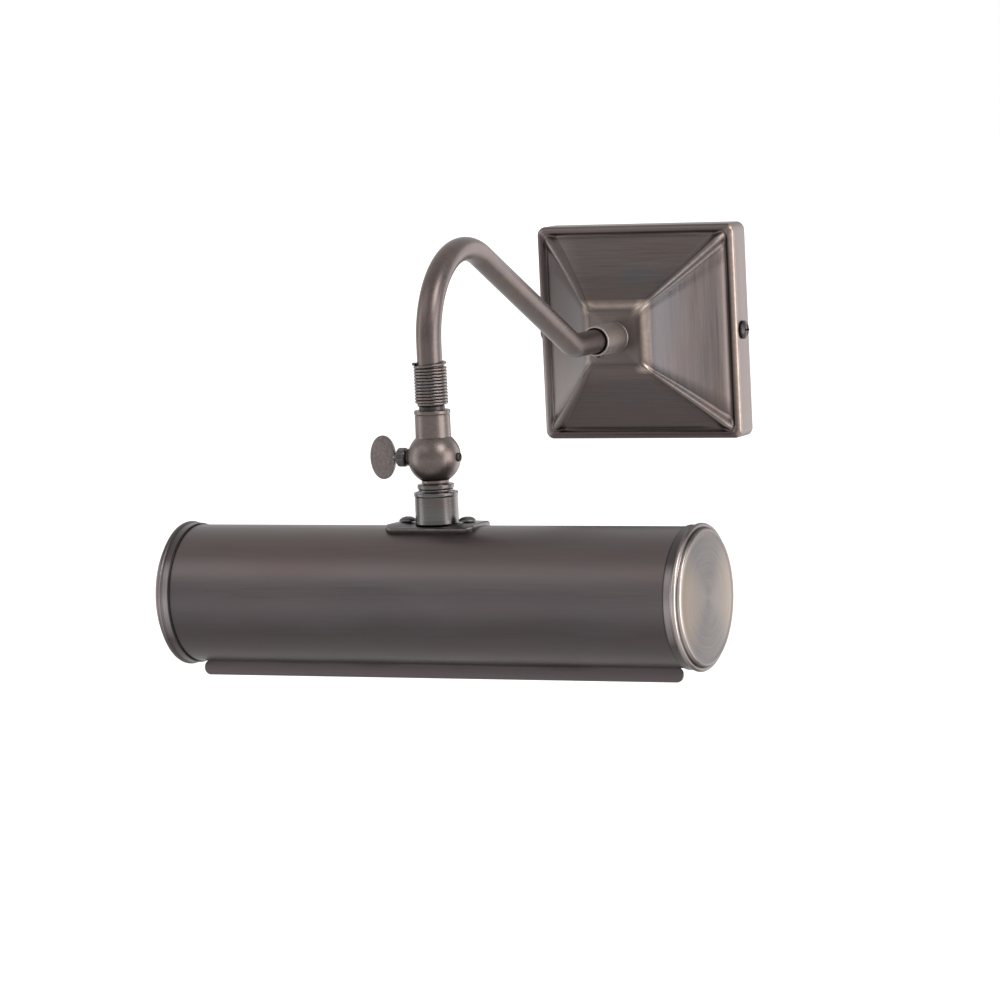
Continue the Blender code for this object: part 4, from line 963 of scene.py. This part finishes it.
def coil():
    """Close-wound wire; its last turn is tipped and its tail stands off to the left."""
    path = []
    steps = round(COIL_TURNS * COIL_STEPS)
    for k in range(steps + 1):
        done = COIL_TURNS * k / steps
        left = COIL_TURNS - done
        angle = COIL_FINISH - 2 * pi * left
        z = COIL_LOW + (COIL_HIGH - COIL_LOW) * k / steps
        if left < 1.0:
            z += TIP_RISE * (1 - left) * (0.5 - 0.5 * cos(angle - TIP_LOW))
        if done < 1.0:
            z += FIRST_RISE * (1 - done)
        path.append(Vector((COIL_RADIUS * cos(angle), COIL_RADIUS * sin(angle), z)))
    way = (path[-1] - path[-2]).normalized()
    path += [path[-1] + way * d + TAIL_BEND * d * d for d in TAIL]
    piece = tube("coil_wrap", path, COIL_WIRE, 10, place=ARM_END, sharp=60)
    finished(piece, "coil", "coil_spring")


# ---- the knuckle ----

BALL_RADIUS = 11.5
HOLLOW_RADIUS = BALL_RADIUS + 0.12  # clears the other half of the ball
SPLIT = 0.012  # each half's distance from the ball's middle plane
SPLIT_EDGE = 0.04  # breaks the sharp edge of each half
SLEEVE_TOP = -14.35
SHOULDER_TOP = -12.6
SHOULDER_SHADE_TOP = SHOULDER_TOP + 1  # the painted shade on the shoulder reaches up to this
NECK_RADIUS = 5.95
STUD_RADIUS = 4.9  # the neck's threaded end, in the socket


def ball_half(name, along):
    """Half of the ball, with its round face close to the middle plane."""
    start = degrees(asin(SPLIT / BALL_RADIUS) + SPLIT_EDGE / BALL_RADIUS)
    profile = [(0, SPLIT), (BALL_RADIUS - SPLIT_EDGE, SPLIT)]
    profile += arc((0, 0), BALL_RADIUS, BALL_RADIUS, start, 90, 24)
    return lathe(name, profile, 72, place=BALL, along=along)


def ball_hollow(name, along):
    """Cutter that clears the other half's side of the ball."""
    profile = [(0, -SPLIT), (HOLLOW_RADIUS, -SPLIT)]
    profile += arc((0, 0), HOLLOW_RADIUS, HOLLOW_RADIUS, 0, 90, 20)
    return lathe(name, profile, 72, soft=0, place=BALL, along=along)


def upper_knuckle():
    """Sleeve round the arm's end, its shoulder, and the left half of the ball.

    The shoulder under the coil is painted dark as shade.
    """
    drop = ARM_END.z - BALL.z
    bottom = -drop + 3.0
    profile = [(0, 5.0), (3.7, 5.0, 0.2), (4.1, 4.6, 0.2), (4.1, SHOULDER_TOP),
               (5.6, SHOULDER_TOP, 0.35), (5.6, SLEEVE_TOP, 0.1), (7.3, SLEEVE_TOP, 0.1),
               (7.85, SLEEVE_TOP - 0.15, 0.35), (7.85, SLEEVE_TOP - 1.6, 0.3),
               (7.55, SLEEVE_TOP - 1.9, 0.15), (7.6, SLEEVE_TOP - 3.2, 0.2),
               (7.7, -drop + 5.5), (7.2, bottom, 0.4), (0, bottom)]
    body = lathe("swivel_body", profile, 80, place=ARM_END)
    boolean(body, ball_hollow("cut_right", "+X"))
    boolean(body, ball_half("join_left", "-X"), operation="UNION")
    # the shoulder under the coil takes the dark fastener paint as painted shade
    paint_part(body, "ball", "fastener",
               lambda face: SLEEVE_TOP < face.center.z / MM < SHOULDER_SHADE_TOP)
    finished(body, "ball", "upper_knuckle")


def lower_knuckle():
    """Neck, its threaded stud, and the right half of the ball."""
    profile = [(0, -6.0), (NECK_RADIUS, -6.0), (NECK_RADIUS, -11.1, 0.3), (STUD_RADIUS, -11.1),
               (STUD_RADIUS, -22.9, 0.3), (0, -22.9)]
    body = lathe("tilt_body", profile, 72, place=BALL)
    boolean(body, ball_hollow("cut_left", "-X"))
    boolean(body, ball_half("join_right", "+X"), operation="UNION")
    boolean(body, lathe("cut_nut_way", [(0, 5), (2.0, 5), (2.0, 20), (0, 20)], 40, soft=0,
                        place=BALL, along="+X"))
    finished(body, "ball", "lower_knuckle")


def clamp_nut_and_washer():
    """Slotted end of the captive nut on the right, and the cupped washer on the left."""
    outer = low_high("captive_nut", 0)[1]
    nut = [(0, 5.0), (1.95, 5.0, 0.2), (1.95, outer - 0.5, 0.1), (1.7, outer, 0.4),
           (1.3, outer - 0.1, 0.2), (1.1, outer - 0.7, 0.2), (0, outer - 0.7)]
    piece = lathe("clamp_nut", nut, 36, place=BALL, along="+X")
    boolean(piece, box_shape("cut_nut_slot", (-4, -0.45, outer - 1.0), (4, 0.45, outer + 1),
                             place=BALL, along="+X"))
    finished(piece, "fastener", "captive_nut")
    washer = [(2.5, 11.4, 0.1), (3.9, 10.95, 0.2), (4.0, 11.75, 0.2), (2.5, 12.2, 0.1)]
    piece = lathe("clamp_cup_washer", washer, 48, closed=True, place=BALL, along="-X")
    finished(piece, "fastener", "clamp_washer")


KNURLS = 26
KNURL_RADIUS = 4.1
KNURL_FROM, KNURL_TO = 13.6, 16.6  # heights of the knurled band along the screw
COLLAR_END = 17.4  # the paddle's finish starts here
PADDLE_HALF = (5.95, 1.35, 9.5)  # half its width, thickness and height
PADDLE_OUT = 24.45  # its middle's distance from the ball's
PADDLE_ROWS, PADDLE_STEPS = 13, 64
PADDLE_ROUND = 3.2  # power that rounds its edge


def paddle():
    """Oval pad with a rounded edge and slightly crowned faces."""
    wide, thick, tall = PADDLE_HALF
    bm = bmesh.new()
    rings = []
    for k in range(PADDLE_ROWS):
        t = -1 + 2 * k / (PADDLE_ROWS - 1)
        bulge = (1 - abs(t) ** PADDLE_ROUND) ** (1 / PADDLE_ROUND)
        y = thick * t * (1 - 0.12 * (1 - bulge))
        oval = arc((0, 0), wide * (0.86 + 0.14 * bulge), tall * (0.90 + 0.10 * bulge), 0, 360, PADDLE_STEPS)
        rings.append([bm.verts.new((x, y, z)) for x, z in oval[:-1]])
    skin(bm, rings)
    for ring in (rings[0], rings[-1]):
        y = ring[0].co.y
        last = ring
        for share in (0.7, 0.35):
            level = y * (1 + 0.06 * (1 - share))
            inner = [bm.verts.new((v.co.x * share, level, v.co.z * share)) for v in ring]
            bridge(bm, last, inner)
            last = inner
        bridge(bm, last, [bm.verts.new((0, y * 1.07, 0))])
    return solid("join_paddle", bm, place=(BALL.x - PADDLE_OUT, BALL.y, BALL.z))


def thumbscrew():
    """Screw with a knurled collar and an oval paddle."""
    def knurl(angle, height, radius):
        inside = KNURL_FROM < height < KNURL_TO and radius > KNURL_RADIUS - 0.3
        return -0.28 * (0.5 + 0.5 * cos(KNURLS * angle)) ** 2 if inside else 0.0

    screw = [(0, -10.0), (1.65, -10.0, 0.2), (1.95, -9.6, 0.2), (1.95, 12.5), (3.0, 12.5, 0.3),
             (3.7, 13.1, 0.3), (KNURL_RADIUS, 13.7), (KNURL_RADIUS, 14.5), (KNURL_RADIUS, 15.5),
             (KNURL_RADIUS, 16.5), (3.7, 16.95, 0.3), (2.7, 17.3, 0.3), (1.9, 18.0, 0.5),
             (1.25, 19.4, 0.4), (1.1, 20.2), (0, 20.2)]
    body = lathe("thumb_screw", screw, 156, ripple=knurl, place=BALL, along="-X", sharp=30)
    boolean(body, paddle(), operation="UNION")
    paint_part(body, "paddle", "worn_fastener", lambda face: face.center.z / MM < COLLAR_END)
    finished(body, "paddle", "thumbscrew")


# ---- stem, socket, saddle ----

def from_ball(name):
    """Lowest and highest level of a CAD node, from the ball's middle."""
    return [level - BALL.z for level in low_high(name, 2)]


def stem_ring(name, profile, node_name):
    piece = lathe(name, profile, 72, closed=True, place=BALL)
    finished(piece, "knuckle", node_name)


def stem():
    """Lock nut, thin washer and turned socket cup under the ball."""
    bore = 5.2
    low, high = from_ball("stem_lock_nut")
    stem_ring("lock_ring", [(bore, low), (7.9, low, 0.25), (7.9, high, 0.5),
                            (7.0, high + 0.05, 0.3), (bore, high)], "stem_lock_nut")
    low, high = from_ball("stem_washer")
    stem_ring("thin_washer", [(bore, low), (7.5, low, 0.2), (7.5, high, 0.25), (bore, high)],
              "stem_washer")
    top = from_ball("shade_socket")[1]
    seat = SHADE.z - BALL.z + SHADE_RADIUS
    cup = [(bore, top - 0.4), (8.3, top - 0.4, 0.2), (8.7, top, 0.3), (9.3, top, 0.3),
           (9.6, top - 0.3, 0.35), (9.6, top - 1.5, 0.3), (9.3, top - 1.85, 0.25),
           (9.35, seat + 3.0, 0.5), (9.5, seat + 1.3), (4.9, seat + 1.0), (4.9, seat - 1.9),
           (3.4, seat - 1.9), (3.4, top - 12.5), (bore, top - 12.5)]
    socket = lathe("shade_cup", cup, 96, closed=True, place=BALL)
    finished(socket, "socket", "shade_socket")


SADDLE_HALF = 21.0
SADDLE_THICK = 1.2
SADDLE_SPREAD = radians(22)  # how far round the tube it reaches to each side
SADDLE_CORNER = 4.5
SADDLE_RIM = 0.5
EAR_START, EAR_FULL, EAR_EXTRA = 10.0, 15.0, 0.75  # its two ears are thicker


def saddle():
    """Curved pressed plate on the tube's top, with rounded corners and two thick ears."""
    low = SHADE_RADIUS + 0.05
    high = low + SADDLE_THICK
    outline = rounded_rectangle(SADDLE_HALF, high * SADDLE_SPREAD, SADDLE_CORNER, 10)
    bm = bmesh.new()

    def ring(inset, share, shrink):
        """The outline pulled in, at a share of the thickness above the tube."""
        made = []
        for point in outline:
            x, s = (copysign(max((abs(v) - inset) * (1 - shrink), 0.0), v) for v in point)
            ear = min(1.0, max(0.0, (abs(x) - EAR_START) / (EAR_FULL - EAR_START)))
            ear = ear * ear * (3 - 2 * ear)
            radius = low + SADDLE_THICK * share * (1 + EAR_EXTRA * ear)
            angle = pi / 2 + s / high
            made.append(bm.verts.new((x, radius * cos(angle), radius * sin(angle))))
        return made

    rings = [[bm.verts.new((0, 0, low))]]
    rings += [ring(0.0, 0.0, shrink) for shrink in (0.65, 0.3, 0.0)]
    for inset, fall in arc((SADDLE_RIM, 1.0), SADDLE_RIM, SADDLE_RIM / SADDLE_THICK, 180, 270, 5):
        rings.append(ring(inset, 2.0 - SADDLE_RIM / SADDLE_THICK - fall, 0.0))
    for shrink in (0.08, 0.16, 0.24, 0.32, 0.4, 0.48, 0.56, 0.7, 0.85):
        rings.append(ring(SADDLE_RIM, 1.0, shrink))
    rings.append([bm.verts.new((0, 0, high))])
    skin(bm, rings)
    finished(solid("saddle_pad", bm, place=SHADE, sharp=40), "saddle", "saddle_plate")
    for side in ("left", "right"):
        name = "saddle_screw_" + side
        centre = middle(name)
        seat = low_high(name, 2)[1] - 2.0
        pan_screw("pad_screw_" + side, 3.7, 1.9, 9.0, 2.0, "worn_fastener", name,
                  place=(centre.x, centre.y, seat))


# ---- the shade ----

TUBE_HALF = 119.5
TUBE_STEPS = 120
TUBE_STATIONS = (-TUBE_HALF, -80.0, -40.0, 0.0, 40.0, 80.0, TUBE_HALF)
FRONT_LIP, REAR_LIP = -98.4, 1.6  # degrees from the wall's side, upwards
LIP_HALF = 114.6
LIP_REACH = 6.1
LIP_FACES = (0.02, SHADE_WALL + 0.12)  # its two faces, past the slot's edge
LIP_CORNER = 3.2
LIP_EDGE = 0.35


def shade_lip(name, angle, sign):
    """Flat out-turned strip along one edge of the slot."""
    low, high = SHADE_RADIUS - SHADE_WALL * 0.5, SHADE_RADIUS + LIP_REACH
    outline = rounded_rectangle(LIP_HALF, (high - low) / 2, LIP_CORNER, 8, (0, (high + low) / 2))
    back, front = sorted(face * sign for face in LIP_FACES)
    return prism("join_" + name, outline, back, front, LIP_EDGE, place=SHADE,
                 along=Matrix.Rotation(radians(angle), 3, "X"))


def shade_tube():
    """Slotted tube with an out-turned lip along each edge of the slot, white inside."""
    outer, inner = (arc((0, 0), radius, radius, REAR_LIP, FRONT_LIP + 360, TUBE_STEPS)
                    for radius in (SHADE_RADIUS, SHADE_RADIUS - SHADE_WALL))
    bm = bmesh.new()
    rings = [[bm.verts.new((x, y, z)) for y, z in outer + inner[::-1]] for x in TUBE_STATIONS]
    skin(bm, rings)
    bm.faces.new(rings[0])
    bm.faces.new(rings[-1])
    body = solid("slotted_tube", bm, place=SHADE, sharp=30)
    boolean(body, shade_lip("front", FRONT_LIP, -1), shade_lip("rear", REAR_LIP, 1),
            operation="UNION")
    limit = (SHADE_RADIUS - SHADE_WALL * 0.4) * MM

    def is_inside(face):
        spot = Vector((0, face.center.y, face.center.z))
        return spot.length < limit and face.normal.dot(spot) < 0

    paint_part(body, "tube", "white_paint", is_inside)
    finished(body, "tube", "shade_tube")


BEAD_RADIUS, BEAD_AT = 1.15, (30.35, -3.0)  # the cap's bead, and its place from the face
BROW_RADIUS, BROW_AT = 1.05, (28.15, -1.35)  # the rounded edge of its disc


def end_caps():
    """Spun caps: skirt over the tube, bead, groove, and a disc that is slightly crowned."""
    edge = SHADE_EDGE
    profile = [(0, edge - 0.8), (27.2, edge - 1.3), (28.0, edge - 2.2), (29.0, edge - 3.0),
               (30.05, edge - 3.6), (30.05, edge - 8.0), (30.55, edge - 8.05, 0.2),
               (30.75, edge - 7.6, 0.3), (30.6, edge - 4.9, 0.5), (30.75, edge - 4.3, 0.3)]
    bead = (BEAD_AT[0], edge + BEAD_AT[1])
    profile += arc(bead, BEAD_RADIUS, BEAD_RADIUS, -60, 140, 8)
    profile += [(29.5, edge - 2.25, 0.15), (29.25, edge - 1.9, 0.2)]
    brow = (BROW_AT[0], edge + BROW_AT[1])
    profile += arc(brow, BROW_RADIUS, BROW_RADIUS, 0, 90, 6)
    profile += [(26.4, edge - 0.42, 0.6), (25.6, edge - 0.36), (20.0, edge - 0.2),
                (13.0, edge - 0.08), (6.0, edge - 0.02), (0, edge)]
    for side, along in (("left", "-X"), ("right", "+X")):
        piece = lathe("spun_cap_" + side, profile, 144, place=(0, SHADE.y, SHADE.z), along=along,
                      sharp=30)
        finished(piece, "cap_" + side, "end_cap_" + side)


# ---- inside the shade ----

HOLDER_FRONT = -60.0  # places along the shade's axis
CONTACT = -92.0
LEG = -104.0  # front of the strap's leg that carries the holder
LAMP_NECK = HOLDER_FRONT + 1.8
LAMP_TIP = 27.0
POST_END = -38.0
LAMP_RADIUS = 12.5
LAMP_WALL = 0.7
TIP_DEPTH = 9.5
INSIDE = {"place": (0, SHADE.y, SHADE.z), "along": "+X"}
CAP_TURNS, CAP_PITCH = 6, 2.8
HOLDER_RIBS = 24
FLEX_ROUTE = [(0, 0, 42), (0, 0, 32), (-0.5, 0, 26), (-6, 1, 21.5), (-20, 6.5, 20),
              (-40, 9.5, 20.5), (-70, 10, 20.5), (-95, 10.5, 20), (-106, 10.5, 17),
              (-112, 8.5, 9), (-114.5, 3.5, 2.5), (-112.5, 0, 0), (-108, 0, 0), (-100, 0, 0)]


def lampholder():
    """Moulded body with a ribbed grip, and the threaded shell inside it."""
    def ribs(angle, height, radius):
        inside = -84 < height < -68 and radius > 12
        return -0.35 * (0.5 + 0.5 * cos(HOLDER_RIBS * angle)) ** 3 if inside else 0.0

    back = LEG + 0.3
    body = [(3.2, LEG - 6.5), (4.9, LEG - 6.5, 0.3), (4.9, back, 0.2), (9.0, back, 0.8),
            (12.6, back + 2.5, 1.2), (13.1, back + 8, 1.0), (13.15, -84.5, 0.3), (13.2, -83.5),
            (13.25, -79), (13.3, -73), (13.3, -68.5), (13.35, -67.5, 0.3),
            (13.6, HOLDER_FRONT, 0.8), (8.4, HOLDER_FRONT, 0.5), (8.4, CONTACT - 2.5),
            (3.2, CONTACT - 2.5)]
    finished(lathe("holder_body", body, 144, closed=True, ripple=ribs, **INSIDE),
             "white_plastic", "lampholder_body")
    shell = [(7.4, CONTACT + 2.0), (8.0, CONTACT + 2.0), (8.0, HOLDER_FRONT - 1.0, 0.2),
             (7.4, HOLDER_FRONT - 1.0, 0.2)]
    finished(lathe("holder_shell", shell, 64, closed=True, **INSIDE), "brass", "lampholder_shell")


def lamp_cap():
    """Threaded cap with its contact."""
    foot = CONTACT + 0.3
    cap = [(0, foot), (2.2, foot, 0.4), (2.7, foot + 1.2, 0.4), (5.2, foot + 3.4, 0.6),
           (6.6, foot + 4.4, 0.4)]
    for k in range(CAP_TURNS):
        start = foot + k * CAP_PITCH
        cap += [(7.0, start + 5.8, 0.9), (6.35, start + 7.2, 0.9)]
    cap += [(6.9, HOLDER_FRONT - 2.0, 0.4), (7.2, HOLDER_FRONT + 1.5, 0.2),
            (6.4, HOLDER_FRONT + 1.5), (6.0, HOLDER_FRONT - 4.0), (0, HOLDER_FRONT - 4.0)]
    finished(lathe("lamp_base", cap, 64, **INSIDE), "nickel", "lamp_cap")


def lamp_glass():
    """Thin tubular bulb with a rounded tip."""
    neck = LAMP_NECK
    bore = LAMP_RADIUS - LAMP_WALL
    middle_of_tip = (0, LAMP_TIP - TIP_DEPTH)
    hollow = arc(middle_of_tip, bore, TIP_DEPTH - LAMP_WALL, 90, 0, 14)
    inner = [(bore, neck + 15.0), (11.2, neck + 8.8, 3.0), (7.6, neck + 2.8, 2.0), (6.2, neck + 0.8)]
    outer = [(6.2, neck), (7.3, neck, 0.3), (8.4, neck + 2.5, 2.0), (12.0, neck + 8.5, 3.0),
             (LAMP_RADIUS, neck + 15.0)]
    tip = arc(middle_of_tip, LAMP_RADIUS, TIP_DEPTH, 0, 90, 14)
    finished(lathe("lamp_bulb", hollow + inner + outer + tip, 64, **INSIDE), "glass", "lamp_glass")


def lamp_inside():
    """Glass post and the wire looped forward from it."""
    neck = LAMP_NECK
    post = [(0, neck - 4.5), (5.4, neck - 4.5), (5.4, neck - 0.5, 0.8), (3.6, neck + 3, 1.5),
            (2.2, neck + 8, 2.0), (1.5, POST_END - 2, 0.5), (1.2, POST_END, 0.3), (0, POST_END)]
    finished(lathe("lamp_post", post, 36, **INSIDE), "glass", "lamp_stem")
    start = POST_END + 3.0
    span = LAMP_TIP - 13.0 - start
    loops = [(POST_END + 0.6, 0, 0)]
    for k in range(9):
        a = pi * k / 2
        loops.append((start + span * k / 8, 2.2 * cos(a), 2.2 * sin(a)))
    wire = tube("lamp_wire", curve_through(loops, 1.0), 0.22, 8, place=INSIDE["place"], sharp=60)
    finished(wire, "filament", "lamp_filament")


def head_flex():
    """Flex from the socket over the lampholder and into its back."""
    flex = tube("shade_flex", curve_through(FLEX_ROUTE), 2.1, 20, place=INSIDE["place"], sharp=60)
    finished(flex, "sheath", "head_flex")


PORT_Y = -7.3  # the leads leave the terminal block's ports here
PORT_SPACING = 9.0
LEAD_CIRCLE = 1.75  # the three cores lie on this circle in the nipple
LEAD_END = -44.5
POLES = (("live", -1, "brown_lead"), ("neutral", 0, "blue_lead"), ("earth", 1, "green_lead"))


def wiring():
    """The three leads from the terminal block into the collar's bore."""
    for pole, place, paint in POLES:
        x, y = place * PORT_SPACING, PORT_Y
        angle = radians(90 - 120 * place)
        bx, bz = LEAD_CIRCLE * cos(angle), LEAD_CIRCLE * sin(angle)
        points = [(x, y, 5.0), (x, y, 9.5), (x, y - 3.0, 12.8), (x * 0.8, y - 9.0, 13.0),
                  (x * 0.45 + bx * 0.5, -24.0, 7.5), (bx, -30.0, bz + 1.0), (bx, -35.0, bz),
                  (bx, LEAD_END, bz)]
        lead = tube(pole + "_wire", curve_through(points, 1.2), 1.05, 16, sharp=60)
        finished(lead, paint, pole + "_lead")


CAD_LOOKS = {  # hidden pieces whose CAD shape is right
    "zinc": ("wall_bracket", "collar_washer", "saddle_nut_left", "saddle_nut_right",
             "holder_strap", "holder_nut"),
    "brass": ("collar_nut", "terminal_screw_live", "terminal_screw_neutral",
              "terminal_screw_earth", "lampholder_contact"),
    "white_plastic": ("terminal_block",),
    "sheath": ("arm_flex",),
    "fastener": ("swivel_stop_pin",),
}

for make in (wall_plate, plate_fastenings, collar, arm, coil, upper_knuckle, lower_knuckle,
             clamp_nut_and_washer, thumbscrew, stem, saddle, shade_tube, end_caps, lampholder,
             lamp_cap, lamp_glass, lamp_inside, head_flex, wiring):
    make()
for paint, names in CAD_LOOKS.items():
    for name in names:
        mesh = frame["nodes"][name].data
        mesh.materials.clear()
        mesh.materials.append(PAINT[paint])


# ---- camera, light and floor ----

def aimed(thing, azimuth, elevation, distance, target, roll=0.0):
    """Put a camera or light on a sphere round a target, looking at it."""
    a, e = radians(azimuth), radians(elevation)
    back = Vector((sin(a) * cos(e), -cos(a) * cos(e), sin(e)))
    side = (-back).cross(Vector((0, 0, 1))).normalized()
    up = side.cross(-back)
    r = radians(roll)
    across = side * cos(r) + up * sin(r)
    upward = up * cos(r) - side * sin(r)
    turn = Matrix((across, upward, back)).transposed()
    thing.matrix_world = Matrix.Translation((Vector(target) + back * distance) * MM) @ turn.to_4x4()


CAMERA_TARGET = (-30.6, -108.3, -68.1)
CAMERA_AZIMUTH, CAMERA_ELEVATION, CAMERA_ROLL = 25.43, 5.94, -2.73
CAMERA_DISTANCE = 2404.0
LENS, SENSOR = 190.3, 36.0
LIGHTS_TARGET = (0, -120, -40)
BACKDROP_WAY = (-0.427, 0.898, -0.103)  # the way the camera looks
SOFTBOXES = (  # azimuth, elevation, distance, width, height and power
    ("right_rear_box", 152, -4, 1800, 1.2, 2.0, 12),
    ("right_box", 86, -4, 2000, 1.4, 1.8, 29),
    ("key_box", 62, 40, 2000, 0.9, 0.9, 18),
    ("front_left_box", -32, 37, 2000, 1.6, 0.8, 4),
    ("left_box", -66, 4, 2200, 1.0, 2.0, 11),
)
FLOOR_LEVEL = -2500
FLOOR_GLOW = 0.45
FLOOR_HALF = 60.0  # metres
FLOOR_FADE = (3000.0, 9000.0)  # its glow starts and is full at these distances


def studio_camera():
    lens = bpy.data.cameras.new("camera")
    lens.sensor_width = SENSOR
    lens.lens = LENS
    lens.clip_start, lens.clip_end = 0.1, 300.0
    camera = link("camera", lens)
    aimed(camera, CAMERA_AZIMUTH, CAMERA_ELEVATION, CAMERA_DISTANCE, CAMERA_TARGET, CAMERA_ROLL)
    bpy.context.scene.camera = camera


def studio_world():
    """White to the camera, and as light a little greyer from the camera's own side."""
    world = bpy.data.worlds.new("studio")
    world.use_nodes = True
    tree = world.node_tree
    way = node(tree, "TexCoord").outputs["Generated"]
    ahead = node(tree, "VectorMath", {0: way, 1: BACKDROP_WAY}, operation="DOT_PRODUCT")
    light = remap(ahead.outputs["Value"], -0.6, 0.5, 0.72, 1.0)
    tone = most(light, node(tree, "LightPath").outputs["Is Camera Ray"])
    tree.links.new(combined(tone, tone, tone), tree.nodes["Background"].inputs["Color"])
    bpy.context.scene.world = world
    bpy.context.scene.view_settings.view_transform = "Standard"


def softbox(name, azimuth, elevation, distance, width, height, power):
    light = bpy.data.lights.new(name, "AREA")
    light.shape = "RECTANGLE"
    light.size, light.size_y = width, height
    light.energy = power
    box = link(name, light)
    aimed(box, azimuth, elevation, distance, LIGHTS_TARGET)
    box.visible_camera = False


def studio_floor():
    """Pale floor far below, which brightens until it meets the backdrop."""
    bm = bmesh.new()
    bmesh.ops.create_grid(bm, x_segments=8, y_segments=8, size=FLOOR_HALF / MM)
    floor = solid("floor", bm, place=(0, 0, FLOOR_LEVEL))
    del floor["sharp"]
    made, shader, place = started("floor_look", Roughness=0.9)
    tree = made.node_tree
    cloud = noise(place, 0.002, 3.0)
    colour = mix(cloud, (0.90, 0.90, 0.895), (0.93, 0.93, 0.925))
    tree.links.new(colour, shader.inputs["Base Color"])
    glow = remap(length(place), *FLOOR_FADE, 0.0, FLOOR_GLOW)
    tree.links.new(glow, shader.inputs["Emission Strength"])
    shader.inputs["Emission Color"].default_value = (1.0, 1.0, 1.0, 1.0)
    floor.data.materials.append(made)


studio_camera()
studio_world()
for box in SOFTBOXES:
    softbox(*box)
studio_floor()
